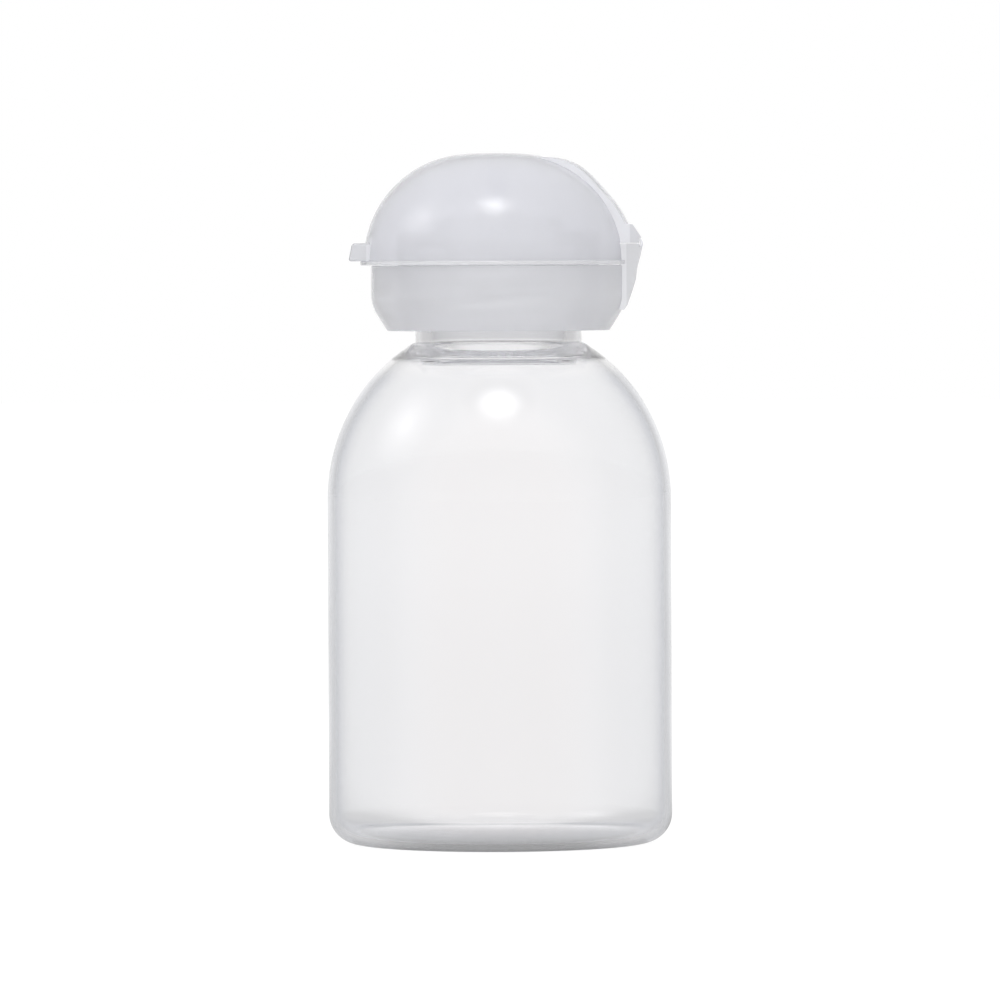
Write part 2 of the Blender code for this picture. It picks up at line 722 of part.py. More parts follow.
def main():
    clear_scene()
    parts = new_collection("cosmetic_bottle")
    tools = new_collection("cutting_tools")
    clear_pet = new_material("clear_bottle_plastic", (0.94, 0.95, 0.96), 0.04, 1.0, 1.57)
    soft_seal = new_material("soft_seal_plastic", (0.9, 0.92, 0.92), 0.45, 0.3, 1.5)
    milky_cap = new_material("milky_cap_plastic", (0.86, 0.88, 0.9), 0.3, 0.6, 1.49)
    milky_core = new_material("milky_core_plastic", (0.84, 0.86, 0.88), 0.35, 0.5, 1.49)
    milky_lid = new_material("milky_lid_plastic", (0.88, 0.9, 0.92), 0.25, 0.6, 1.49)
    milky_film = new_material("milky_film_plastic", (0.9, 0.92, 0.94), 0.25, 0.7, 1.49)

    bottle = make_bottle(parts, tools)
    seal_plug = make_seal_plug(parts)
    cap_core = make_cap_core(parts, tools)
    cap_shell = make_cap_shell(parts, tools)
    living_hinge = make_living_hinge(parts)
    lid = make_lid(parts, tools)

    lift_axis = new_axis("cap_lift_axis", (0, 0, NECK_TOP_Z), parts, bottle)
    turn_axis = new_axis("cap_turn_axis", (0, 0, SHELL_TOP_Z), parts, lift_axis)
    hinge_axis = new_axis("lid_hinge_axis", (HINGE_X, 0, HINGE_Z), parts, turn_axis)
    hang_on(seal_plug, lift_axis)
    for piece in (cap_core, cap_shell, living_hinge):
        hang_on(piece, turn_axis)
    hang_on(lid, hinge_axis)

    finishes = {
        bottle: clear_pet, seal_plug: soft_seal, cap_core: milky_core,
        cap_shell: milky_cap, living_hinge: milky_film, lid: milky_lid,
    }
    for piece, finish in finishes.items():
        piece.data.materials.append(finish)
    for tool in tools.objects:
        hide_tool(tool)


main()
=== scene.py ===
"""Looks of the clear travel bottle with a flip-top cap, built round its packed CAD frame.

Metres, +Z up. The camera looks along +Y; the lid's thumb tab points to -X and its hinge is at +X.
"""

from math import asin, cos, pi, radians, sin, sqrt, tan, tau

import bmesh
import bpy
from bpy.props import FloatProperty, FloatVectorProperty, PointerProperty
from bpy.types import Operator, Panel, PropertyGroup
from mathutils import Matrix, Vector


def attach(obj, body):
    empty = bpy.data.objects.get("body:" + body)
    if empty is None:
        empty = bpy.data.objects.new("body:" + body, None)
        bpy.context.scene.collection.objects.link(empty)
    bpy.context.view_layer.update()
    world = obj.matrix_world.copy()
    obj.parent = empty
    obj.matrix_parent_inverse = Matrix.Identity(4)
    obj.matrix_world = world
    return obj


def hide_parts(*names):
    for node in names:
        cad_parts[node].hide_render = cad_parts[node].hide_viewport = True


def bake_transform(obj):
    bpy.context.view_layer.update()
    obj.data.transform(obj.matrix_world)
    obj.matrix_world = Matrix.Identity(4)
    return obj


bl_info = {
    "name": "Flip-top travel bottle",
    "version": (1, 0, 0),
    "blender": (4, 5, 0),
    "location": "3D View > Sidebar > Bottle",
    "description": "Builds a clear bottle with a milky flip-top cap and a white stage",
    "category": "Object",
}

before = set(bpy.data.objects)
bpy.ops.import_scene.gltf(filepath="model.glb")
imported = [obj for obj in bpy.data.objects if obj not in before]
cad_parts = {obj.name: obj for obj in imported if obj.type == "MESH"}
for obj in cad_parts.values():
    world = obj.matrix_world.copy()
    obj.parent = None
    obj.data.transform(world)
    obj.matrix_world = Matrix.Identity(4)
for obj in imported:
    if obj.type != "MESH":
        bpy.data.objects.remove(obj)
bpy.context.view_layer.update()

MM = 0.001

# A radius below this one lies on the axis
TINY = 0.01 * MM

# How finely round pieces are divided
TURN_STEPS = 144
CORNER_STEPS = 4
ROUND_STEPS = 12
CURVE_STEPS = 40
THREAD_ROW = 0.1 * MM
SMOOTH_ANGLE = radians(34)

# Softened edges: steps, the sharpest angle that stays, and the share of an edge that a corner takes
BEVEL_STEPS = 3
BEVEL_ANGLE = radians(40)
CORNER_SHARE = 0.45

# Clearances between pieces
SEAT_GAP = 0.2 * MM
SLIP_GAP = 0.25 * MM
THREAD_GAP = 0.35 * MM
LUG_GAP = 0.3 * MM
SEAM_GAP = 0.03 * MM
PARTING_GAP = 0.06 * MM
FILM_GAP = 0.05 * MM
OVERRUN = 2.0 * MM

# Small sizes of the bottle
BASE_WALL = 0.8 * MM
FOOT_WIDTH = 1.2 * MM
ELLIPSE_RISE_SHARE = 1.144
ELLIPSE_END_SHARE = 0.836
CROWN_SLOPE = radians(15)
CROWN_HANDLE_SHARE = 0.465
NECK_ROOT_WALL = 2.6 * MM
NECK_TAPER = 3.0 * MM
NECK_FILLET = 0.35 * MM
CROWN_DEPTH = 4.4 * MM
LIP_ROUNDING = 0.4 * MM

# Thread: the neck's ridge and the cap's ridge between its turns
NECK_THREAD_START = 3.35 * MM
NECK_THREAD_ANGLE = radians(180)
CAP_THREAD_ANGLE = radians(240)
RIDGE_STAND = 0.05 * MM
RIDGE = {"Half Width": 0.8 * MM, "Flank": 0.6 * MM, "Run Out": 0.14}

# Small sizes of the cap core and the seal plug
SLEEVE_WALL = 0.85 * MM
SLEEVE_LIFT = 0.3 * MM
SEAT_FLANGE = 1.0 * MM
DECK_WALL = 0.9 * MM
DECK_ROUNDING = 0.5 * MM
TURRET_WALL = 1.0 * MM
NOZZLE_ROUNDING = 0.3 * MM
EDGE_ROUNDING = 0.15 * MM
PLUG_FLANGE = 0.5 * MM
PLUG_WALL = 0.8 * MM
PLUG_HOLE = 1.75 * MM

# Small sizes of the cap shell
CAP_STANDOFF = 1.3 * MM
SHELL_GAP = 0.4 * MM
FOOT_WALL = 0.8 * MM
CHAMFER_BLEND = 4.4 * MM
SEAM_DROP = 1.8 * MM
LEDGE_DROP = 1.8 * MM
LEDGE_WIDTH = 0.75 * MM
SHELL_ROUNDING = 0.2 * MM

# Small sizes of the lid
LID_OVERHANG = 0.4 * MM
LID_FORWARD = 0.4 * MM
CROWN_FLAT = 2.7 * MM
CROWN_ANGLE = radians(85)
RIM_BEAD = 0.4 * MM
RIM_HEIGHT = 0.47 * MM
PIN_RADIUS = 0.95 * MM
PIN_DEPTH = 0.8 * MM
PIN_TAPER = 0.25 * MM
TAB_SLANT = 0.4 * MM
TAB_ROUNDING = 0.3 * MM
STRAP_ROUNDING = 0.2 * MM

# Strap over the lid's back: along it from foot to start, and how far it stands over the dome
STRAP_ANGLE = radians(76)
STRAP_PROUD = 1.0 * MM
STRAP_SHARES = (
    (0, 1.0), (0.24, 1.0), (0.3, 0.92), (0.38, 0.78), (0.46, 0.63), (0.53, 0.55), (0.6, 0.58),
    (0.67, 0.66), (0.74, 0.72), (0.8, 0.66), (0.86, 0.52), (0.93, 0.27), (1.0, -0.1),
)

# Small sizes of the hinge
UPPER_LUG_HEIGHT = 2.15 * MM
LOWER_LUG_HEIGHT = 7.4 * MM
LUG_ROUNDING = 0.2 * MM
LUG_LIP_ROUNDING = 0.06 * MM
FILM_THICKNESS = 0.35 * MM
FILM_WAIST = 0.2 * MM
FILM_HEIGHT = 0.9 * MM
FILM_INSET = 0.1 * MM
FILM_STEPS = 18

# Outer face of each lug, from the hinge on: how far it stands out and how far from the hinge it is
UPPER_LUG_SHARES = ((0.905, 0.235), (0.863, 0.36), (0.626, 0.675), (0.395, 0.97), (0.2, 1.0))
LOWER_LUG_SHARES = (
    (0.968, 0.048), (0.86, 0.175), (0.76, 0.27), (0.69, 0.335), (0.635, 0.42),
    (0.58, 0.54), (0.4, 0.69), (0.2, 0.84), (0.09, 0.92), (-0.1, 1.0),
)

# Outer face of the film, from its foot to its top: how far up and how deep under the hinge's face
FILM_SHARES = ((0, 0.25), (0.25, 0), (0.55, 0), (1, 0.5))


# Settings that a user would change

def number(name, description, default, **settings):
    return FloatProperty(name=name, description=description, default=default, **settings)


def length(name, description, millimetres):
    return number(name, description, millimetres * MM, min=0, unit="LENGTH", precision=5)


def share(name, description, default):
    return number(name, description, default, min=0, max=1, subtype="FACTOR")


def amount(name, description, default):
    return number(name, description, default, min=0)


def turn(name, description, degrees):
    return number(name, description, radians(degrees), subtype="ANGLE")


def colour(name, description, default):
    return FloatVectorProperty(
        name=name, description=description, default=default, size=3, min=0, max=1, subtype="COLOR"
    )


class BottleSizes(PropertyGroup):
    """Sizes of the clear bottle and its thread"""

    body_radius: length("Body radius", "Outer radius of the straight body", 19.25)
    body_height: length("Body height", "Height at which the shoulder begins", 38.6)
    shoulder_height: length("Shoulder height", "Height of the domed shoulder up to the neck", 17.5)
    wall: length("Wall", "Wall of the body", 0.75)
    base_corner: length("Base corner", "Outer rounding where the side meets the base", 3.3)
    push_up: length("Push-up", "How far the middle of the base is pushed up", 0.6)
    neck_radius: length("Neck radius", "Outer radius of the neck below its thread ridge", 9.3)
    neck_bore: length("Neck bore", "Inner radius of the neck", 7.55)
    neck_height: length("Neck height", "Height of the neck above the shoulder", 10.4)
    thread_lead: length("Thread lead", "Rise of the thread in one turn", 3.0)
    thread_ridge: length("Thread ridge", "Height of a thread ridge", 0.7)
    neck_turns: amount("Neck turns", "Turns of the ridge on the neck", 1.5)
    cap_turns: amount("Cap turns", "Turns of the ridge inside the cap", 1.25)


class CapSizes(PropertyGroup):
    """Sizes of the screw cap under the lid"""

    chamfer_width: length("Chamfer width", "How far the foot of the cap is drawn in", 1.8)
    chamfer_angle: turn("Chamfer angle", "Slope of the drawn-in foot from the upright", 32.4)
    wall: length("Wall", "Wall of the cap's barrel", 1.0)
    turret_radius: length("Turret radius", "Radius of the raised deck", 7.2)
    turret_height: length("Turret height", "Height of the raised deck", 1.6)
    nozzle_radius: length("Nozzle radius", "Outer radius of the nozzle", 2.6)
    nozzle_height: length("Nozzle height", "Height of the nozzle above the raised deck", 1.4)
    nozzle_hole: length("Nozzle hole", "Radius of the nozzle's hole", 1.25)
    plug_depth: length("Plug depth", "How far the seal plug reaches into the neck", 3.0)


class LidSizes(PropertyGroup):
    """Sizes of the domed lid and its hinge"""

    wall: length("Wall", "Wall of the dome", 1.0)
    tab_length: length("Tab length", "How far the thumb tab stands out", 1.65)
    tab_width: length("Tab width", "Width of the thumb tab", 9.0)
    tab_thickness: length("Tab thickness", "Thickness of the thumb tab", 2.0)
    hinge_width: length("Hinge width", "Width of the strap, the lugs and the film", 7.0)
    hinge_rise: length("Hinge rise", "Height of the hinge line above the cap's rim", 2.4)
    hinge_reach: length("Hinge reach", "How far the hinge stands out from the cap's side", 1.9)


class Finishes(PropertyGroup):
    """Colours and finishes of the pieces"""

    bottle_colour: colour("Bottle", "Clear plastic seen square on", (0.955, 0.948, 0.952))
    bottle_side: colour("Bottle side", "Clear plastic where it turns away", (0.972, 0.974, 0.984))
    # Painted shade at the clear plastic's outline, which also stands for the longer path through
    # the wall
    bottle_edge_shade: colour("Bottle edge", "Clear plastic seen edge on", (0.63, 0.645, 0.7))
    # Painted light: the clear plastic is lightest round the neck's root
    crown_painted_light: colour("Crown", "Clear plastic round the neck's root", (0.998, 0.996, 1.0))
    # Painted shade on the neck's foot, under the cap
    neck_painted_shade: colour("Neck", "Clear plastic at the neck's foot", (0.8, 0.8, 0.815))
    bottle_roughness: share("Bottle roughness", "Roughness of the clear plastic", 0.03)
    lid_colour: colour("Lid", "Colour of the milky lid", (0.962, 0.965, 1.0))
    cap_colour: colour("Cap", "Colour of the milky cap shell", (0.972, 0.974, 1.0))
    core_colour: colour("Core", "Colour of the milky cap core", (0.995, 0.997, 1.0))
    plug_colour: colour("Seal plug", "Colour of the soft seal plug", (0.994, 0.996, 0.998))
    milky_roughness: share("Milky roughness", "Roughness of the milky plastic", 0.1)
    milky_clearness: share("Milky clearness", "How clear the shell, the lid and the film are", 0.7)
    core_clearness: share("Core clearness", "How clear the core and the seal plug are", 0.92)


class StageSettings(PropertyGroup):
    """Camera, lamps and surroundings"""

    camera_distance: length("Camera distance", "From the bottle's axis to the camera", 950)
    camera_height: length("Camera height", "Height of the camera above the floor", 65)
    view_width: length("View width", "Width that the picture takes in at the bottle's axis", 112)
    aim_height: length("Aim height", "Height that the middle of the picture looks at", 38.4)
    aim_side: length("Aim side", "How far right of the bottle's axis the camera stands", 0.08)
    camera_roll: turn("Camera roll", "How far the camera is turned about its line of sight", -0.258)
    key_level: amount("Key level", "Brightness of the soft box in front", 5.3)
    side_level: amount("Side level", "Brightness of the soft box at the left", 1.6)
    back_level: amount("Back level", "Brightness of the surroundings behind the bottle", 0.97)
    flank_level: amount("Flank level", "Brightness of the surroundings at both sides", 0.66)
    front_level: amount("Front level", "Brightness of the surroundings on the camera's side", 1.1)
    top_level: amount("Top level", "Brightness of the surroundings overhead", 0.9)


SETTINGS = {
    "flip_bottle": BottleSizes,
    "flip_cap": CapSizes,
    "flip_lid": LidSizes,
    "flip_finishes": Finishes,
    "flip_stage": StageSettings,
}


# Helpers for outlines. An outline for turning is a list of radius and height.

def arc(centre, radius, start, end, steps):
    """Points on an arc, from the start angle to the end angle."""
    points = []
    for step in range(steps + 1):
        angle = start + (end - start) * step / steps
        points.append((centre[0] + radius * cos(angle), centre[1] + radius * sin(angle)))
    return points


def cubic(a, b, c, d, steps):
    """Points on a cubic curve and its direction at each one."""
    points = []
    for step in range(steps + 1):
        t = step / steps
        s = 1 - t
        place = s**3 * a + 3 * s * s * t * b + 3 * s * t * t * c + t**3 * d
        ahead = s * s * (b - a) + 2 * s * t * (c - b) + t * t * (d - c)
        points.append((place, ahead.normalized()))
    return points


def along_table(table, place):
    """A value read from a table of places and values, on a smooth curve through all of them."""
    index = 0
    while index < len(table) - 2 and place > table[index + 1][0]:
        index += 1
    before = table[max(0, index - 1)]
    start = table[index]
    end = table[index + 1]
    after = table[min(len(table) - 1, index + 2)]
    width = end[0] - start[0]
    t = (place - start[0]) / width
    rise_in = (end[1] - before[1]) / (end[0] - before[0]) * width
    rise_out = (after[1] - start[1]) / (after[0] - start[0]) * width
    s = 1 - t
    return (
        (1 + 2 * t) * s * s * start[1] + t * s * s * rise_in
        + t * t * (3 - 2 * t) * end[1] - t * t * s * rise_out
    )


def divided(start, end, spacing):
    """Points between two ends, evenly spaced, without the ends themselves."""
    start = Vector(start)
    end = Vector(end)
    count = max(1, round((end - start).length / spacing))
    return [tuple(start.lerp(end, step / count)) for step in range(1, count)]


def rounded(corners, common=0, closed=True):
    """An outline with its corners rounded by short curves. A corner is x, y and its rounding, or x
    and y alone for the common one."""
    points = []
    count = len(corners)
    for index, corner in enumerate(corners):
        place = Vector(corner[:2])
        rounding = corner[2] if len(corner) > 2 else common
        at_end = not closed and index in (0, count - 1)
        if not rounding or at_end:
            points.append(tuple(place))
            continue
        before = Vector(corners[index - 1][:2]) - place
        after = Vector(corners[(index + 1) % count][:2]) - place
        shorter = min(before.length, after.length)
        reach = min(rounding / tan(before.angle(after) / 2), shorter * CORNER_SHARE)
        first = place + before.normalized() * reach
        last = place + after.normalized() * reach
        for step in range(CORNER_STEPS + 1):
            t = step / CORNER_STEPS
            points.append(tuple(first.lerp(place, t).lerp(place.lerp(last, t), t)))
    return points


# Helpers for meshes

def mesh_object(name, shape):
    """Closes a bmesh into an object in the scene, with its faces pointing outwards."""
    bmesh.ops.recalc_face_normals(shape, faces=shape.faces)
    mesh = bpy.data.meshes.new(name)
    shape.to_mesh(mesh)
    shape.free()
    obj = bpy.data.objects.new(name, mesh)
    bpy.context.scene.collection.objects.link(obj)
    return obj


def turned(name, outline, closed, centre_x=0.0, steps=TURN_STEPS):
    """An outline of radius and height turned round an upright axis. A radius of 0 makes a pole."""
    shape = bmesh.new()
    angles = [tau * step / steps for step in range(steps)]
    rings = []
    for radius, height in outline:
        if radius < TINY:
            rings.append([shape.verts.new((centre_x, 0, height))] * steps)
            continue
        rings.append([
            shape.verts.new((centre_x + radius * cos(angle), radius * sin(angle), height))
            for angle in angles
        ])
    pairs = list(zip(rings, rings[1:]))
    if closed:
        pairs.append((rings[-1], rings[0]))
    for one, other in pairs:
        for step in range(steps):
            after = (step + 1) % steps
            corners = [one[step], one[after], other[after], other[step]]
            # At a pole the ring's corners are one and the same
            shape.faces.new(list(dict.fromkeys(corners)))
    return mesh_object(name, shape)


def upright_plate(name, outline, width):
    """A flat outline of X and Z with its thickness along Y, on both sides of the middle."""
    shape = bmesh.new()
    near = [shape.verts.new((x, -width / 2, z)) for x, z in outline]
    far = [shape.verts.new((x, width / 2, z)) for x, z in outline]
    sides = [shape.faces.new(near), shape.faces.new(list(reversed(far)))]
    weight = shape.edges.layers.float.new("bevel_weight_edge")
    for side in sides:
        for edge in side.edges:
            edge[weight] = 1.0
    count = len(outline)
    for index in range(count):
        after = (index + 1) % count
        shape.faces.new([near[index], far[index], far[after], near[after]])
    return mesh_object(name, shape)


def block(name, low, high):
    outline = [(low[0], low[2]), (high[0], low[2]), (high[0], high[2]), (low[0], high[2])]
    return upright_plate(name, outline, high[1] - low[1])


def settle(obj):
    """Takes an object's modifiers into its mesh."""
    bpy.context.view_layer.update()
    graph = bpy.context.evaluated_depsgraph_get()
    mesh = bpy.data.meshes.new_from_object(obj.evaluated_get(graph))
    old = obj.data
    obj.modifiers.clear()
    obj.data = mesh
    mesh.name = obj.name
    bpy.data.meshes.remove(old)


def combine(obj, tool, operation):
    """Joins a tool to an object, or cuts it away, and removes the tool."""
    modifier = obj.modifiers.new(operation.capitalize(), "BOOLEAN")
    modifier.operation = operation
    modifier.solver = "EXACT"
    modifier.object = tool
    settle(obj)
    bpy.data.objects.remove(tool, do_unlink=True)


def soften(obj, width, sides_only=False):
    """Rounds the sharp edges of a piece, or only the edges round a plate's two flat sides."""
    bevel = obj.modifiers.new("Soft edges", "BEVEL")
    bevel.width = width
    bevel.segments = BEVEL_STEPS
    bevel.limit_method = "WEIGHT" if sides_only else "ANGLE"
    bevel.angle_limit = BEVEL_ANGLE
    bevel.miter_outer = "MITER_ARC"
    settle(obj)


def place_piece(obj, body, nodes, material=None):
    """Shades a finished piece, gives it its finish and hangs it on its body."""
    mesh = obj.data
    mesh.shade_smooth()
    mesh.set_sharp_from_angle(angle=SMOOTH_ANGLE)
    if material:
        mesh.materials.clear()
        mesh.materials.append(material)
    if body:
        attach(obj, body)
    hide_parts(*nodes)


# Helpers for node trees

def wire(tree, value, socket):
    """Links an output to a socket, or sets the socket's own value."""
    if isinstance(value, bpy.types.NodeSocket):
        tree.links.new(value, socket)
    else:
        socket.default_value = value


def node(tree, kind, inputs=(), **settings):
    """A node with its settings and its inputs, which are values or other nodes' outputs."""
    made = tree.nodes.new(kind)
    for name, value in settings.items():
        setattr(made, name, value)
    for key, value in dict(inputs).items():
        wire(tree, value, made.inputs[key])
    return made


def maths(tree, operation, *values):
    made = tree.nodes.new("ShaderNodeMath")
    made.operation = operation
    for socket, value in zip(made.inputs, values):
        wire(tree, value, socket)
    return made.outputs[0]


def product(tree, result, *others):
    for other in others:
        result = maths(tree, "MULTIPLY", result, other)
    return result


def vectors(tree, operation, inputs, result="Vector"):
    """Vector maths, with its inputs given by number or name."""
    return node(tree, "ShaderNodeVectorMath", inputs, operation=operation).outputs[result]


def separated(tree, vector):
    return node(tree, "ShaderNodeSeparateXYZ", {"Vector": vector}).outputs


def ramp(tree, value, start, end, low=0.0, high=1.0, kind="SMOOTHSTEP"):
    """A value carried from one range to another, held at the ends."""
    inputs = {"Value": value, "From Min": start, "From Max": end, "To Min": low, "To Max": high}
    made = node(
        tree, "ShaderNodeMapRange", inputs, data_type="FLOAT", interpolation_type=kind
    )
    return made.outputs["Result"]


# Screw thread, as a Geometry Nodes tree

THREAD_INPUTS = (
    "Carrier Radius", "Lead", "Ridge", "Start Height", "Start Angle", "Turns",
    "Half Width", "Flank", "Run Out",
)


def screw_thread_tree():
    """Raises one right-handed ridge on a round face. A negative ridge points inwards."""
    known = bpy.data.node_groups.get("screw_thread")
    if known:
        return known
    tree = bpy.data.node_groups.new("screw_thread", "GeometryNodeTree")
    tree.interface.new_socket("Geometry", in_out="INPUT", socket_type="NodeSocketGeometry")
    for name in THREAD_INPUTS:
        tree.interface.new_socket(name, in_out="INPUT", socket_type="NodeSocketFloat")
    tree.interface.new_socket("Finish", in_out="INPUT", socket_type="NodeSocketMaterial")
    tree.interface.new_socket("Geometry", in_out="OUTPUT", socket_type="NodeSocketGeometry")
    given = tree.nodes.new("NodeGroupInput").outputs
    position = tree.nodes.new("GeometryNodeInputPosition").outputs[0]
    parts = separated(tree, position)
    squares = [maths(tree, "POWER", parts[axis], 2.0) for axis in ("X", "Y")]
    radius = maths(tree, "SQRT", maths(tree, "ADD", *squares))
    angle = maths(tree, "ARCTAN2", parts["Y"], parts["X"])
    turned_by = maths(tree, "SUBTRACT", angle, given["Start Angle"])
    turned_by = maths(tree, "DIVIDE", turned_by, tau)
    risen_by = maths(tree, "SUBTRACT", parts["Z"], given["Start Height"])
    risen_by = maths(tree, "DIVIDE", risen_by, given["Lead"])
    apart = maths(tree, "SUBTRACT", risen_by, turned_by)
    nearest = maths(tree, "ROUND", apart)
    # Turns from the ridge's start, and the height above or below its middle line
    along = maths(tree, "ADD", turned_by, nearest)
    across = maths(tree, "ABSOLUTE", maths(tree, "SUBTRACT", apart, nearest))
    across = maths(tree, "MULTIPLY", across, given["Lead"])
    to_end = maths(tree, "MINIMUM", along, maths(tree, "SUBTRACT", given["Turns"], along))
    ends = ramp(tree, to_end, 0.0, given["Run Out"])
    crest = maths(tree, "SUBTRACT", given["Half Width"], given["Flank"])
    flanks = ramp(tree, across, given["Half Width"], crest)
    carried = maths(tree, "COMPARE", radius, given["Carrier Radius"], TINY)
    height = product(tree, ends, flanks, given["Ridge"], carried)
    level = vectors(tree, "MULTIPLY", {0: position, 1: (1, 1, 0)})
    outwards = vectors(tree, "NORMALIZE", {0: level})
    offset = vectors(tree, "SCALE", {0: outwards, "Scale": height})
    result = given["Geometry"]
    for kind, inputs in (
        ("GeometryNodeSetPosition", {"Offset": offset}),
        ("GeometryNodeRealizeInstances", {}),
        ("GeometryNodeSetMaterial", {"Material": given["Finish"]}),
    ):
        result = node(tree, kind, {"Geometry": result, **inputs}).outputs[0]
    node(tree, "NodeGroupOutput", {"Geometry": result})
    return tree


def cut_thread(obj, values, material):
    """Gives a turned piece its thread ridge and takes the result into its mesh."""
    tree = screw_thread_tree()
    modifier = obj.modifiers.new("Screw thread", "NODES")
    modifier.node_group = tree
    sockets = [item for item in tree.interface.items_tree if item.in_out == "INPUT"]
    identifiers = {item.name: item.identifier for item in sockets}
    for name, value in {**RIDGE, **values, "Finish": material}.items():
        modifier[identifiers[name]] = value
    settle(obj)


# Finishes

# Moulded surface: the scales of its clouds and its skin, and how far the clouds are drawn out
CLEAR_SURFACE = (110.0, 900.0, 1.0)
MILKY_SURFACE = (140.0, 2400.0, 0.4)
CLOUD_RANGE = (0.3, 0.7)
SKIN_RANGE = (0.3, 0.7)
WAVE_DEPTH = 0.08 * MM
SKIN_DEPTH = 0.004 * MM
BUMP_STRENGTH = 0.2

# Clear plastic: how far a wall turns away where its tints change; the second range paints shade at
# its outline
SIDE_FACING = (0.02, 0.2)
OUTLINE_SHADE_FACING = (0.55, 0.85)
CLEAR_SPREAD = (0.6, 1.4)
CLEAR_IOR = 1.57
CLEAR_VEIL = (0.93, 0.93, 0.94)

# Milky plastic: the shares of its colour and its light
# Painted shade at a milky wall's outline: where it starts and ends, and the share of colour it
# leaves
MILKY_OUTLINE_SHADE_FACING = (0.6, 0.95)
OUTLINE_SHADE_SHARE = 0.88
CLOUD_SHARE = 0.99
LUG_SHARE = 0.86
MILK_SHARE = 0.25
CORE_MILK_SHARE = 0.08
MILKY_SPREAD = (0.88, 1.12)
PLUG_ROUGHER = 1.4
LID_SMOOTHER = 0.9
COAT_ROUGHNESS = 0.03
MILKY_IOR = 1.49
MILKY_VEIL = 0.6
FILM_VEIL = 0.8
# Painted light: a lighter tint on the rim bead, for a bright line along the rim
BEAD_LIGHT_TINT = (0.98, 0.984, 1.0)
MASK_FADE = 0.1 * MM


def moulded_surface_group():
    """Soft clouds of a moulding and the fine unevenness of its skin, as masks from 0 to 1."""
    known = bpy.data.node_groups.get("moulded_surface")
    if known:
        return known
    tree = bpy.data.node_groups.new("moulded_surface", "ShaderNodeTree")
    for name, default in (("Cloud Scale", 90.0), ("Skin Scale", 1500.0), ("Flow", 0.35)):
        socket = tree.interface.new_socket(name, in_out="INPUT", socket_type="NodeSocketFloat")
        socket.default_value = default
    for name in ("Clouds", "Skin", "Waves"):
        tree.interface.new_socket(name, in_out="OUTPUT", socket_type="NodeSocketFloat")
    given = tree.nodes.new("NodeGroupInput").outputs
    place = tree.nodes.new("ShaderNodeTexCoord").outputs["Object"]
    # The plastic flows round the wall, so its clouds are drawn out level
    flow = given["Flow"]
    drawn_out = node(tree, "ShaderNodeCombineXYZ", {"X": flow, "Y": flow, "Z": 1.0}).outputs[0]
    flowed = vectors(tree, "MULTIPLY", {0: place, 1: drawn_out})

    def noise(vector, scale, **values):
        inputs = {"Vector": vector, "Scale": given[scale], **values}
        return node(tree, "ShaderNodeTexNoise", inputs).outputs["Fac"]

    clouds = noise(flowed, "Cloud Scale", Detail=3.0, Roughness=0.55)
    node(tree, "NodeGroupOutput", {
        "Clouds": ramp(tree, clouds, *CLOUD_RANGE),
        "Skin": noise(place, "Skin Scale", Detail=2.0, Roughness=0.5),
        "Waves": noise(place, "Cloud Scale", Detail=0.0),
    })
    return tree


def blank_material(name):
    material = bpy.data.materials.new(name)
    material.use_nodes = True
    tree = material.node_tree
    tree.nodes.clear()
    return material, tree


def place_surface(tree, values):
    """The shared moulded surface, in a material, with its own values."""
    group = tree.nodes.new("ShaderNodeGroup")
    group.node_tree = moulded_surface_group()
    for socket, value in zip(group.inputs, values):
        socket.default_value = value
    return group.outputs


def object_parts(tree):
    """X, Y and Z of a place on the piece."""
    return separated(tree, tree.nodes.new("ShaderNodeTexCoord").outputs["Object"])


def wall_facing(tree):
    """How far a wall turns away from the eye."""
    return node(tree, "ShaderNodeLayerWeight", {"Blend": 0.5}).outputs["Facing"]


def tinted(tree, mask, low, high):
    """A colour between two tints, by a mask. The first one can be another node's output."""
    mix = node(tree, "ShaderNodeMix", {"Factor": mask}, data_type="RGBA")
    wire(tree, low if isinstance(low, bpy.types.NodeSocket) else (*low, 1), mix.inputs["A"])
    mix.inputs["B"].default_value = (*high, 1)
    return mix.outputs["Result"]


def bumped(tree, height, depth):
    inputs = {"Height": height, "Distance": depth, "Strength": BUMP_STRENGTH}
    return node(tree, "ShaderNodeBump", inputs).outputs["Normal"]


def let_lamps_through(tree, shader, tint):
    """Lamps light what lies behind a see-through wall: its shadow is only a tint."""
    veil = node(tree, "ShaderNodeBsdfTransparent", {"Color": (*tint, 1)}).outputs[0]
    shadow = tree.nodes.new("ShaderNodeLightPath").outputs["Is Shadow Ray"]
    both = node(tree, "ShaderNodeMixShader", {0: shadow, 1: shader, 2: veil})
    node(tree, "ShaderNodeOutputMaterial", {"Surface": both.outputs[0]})


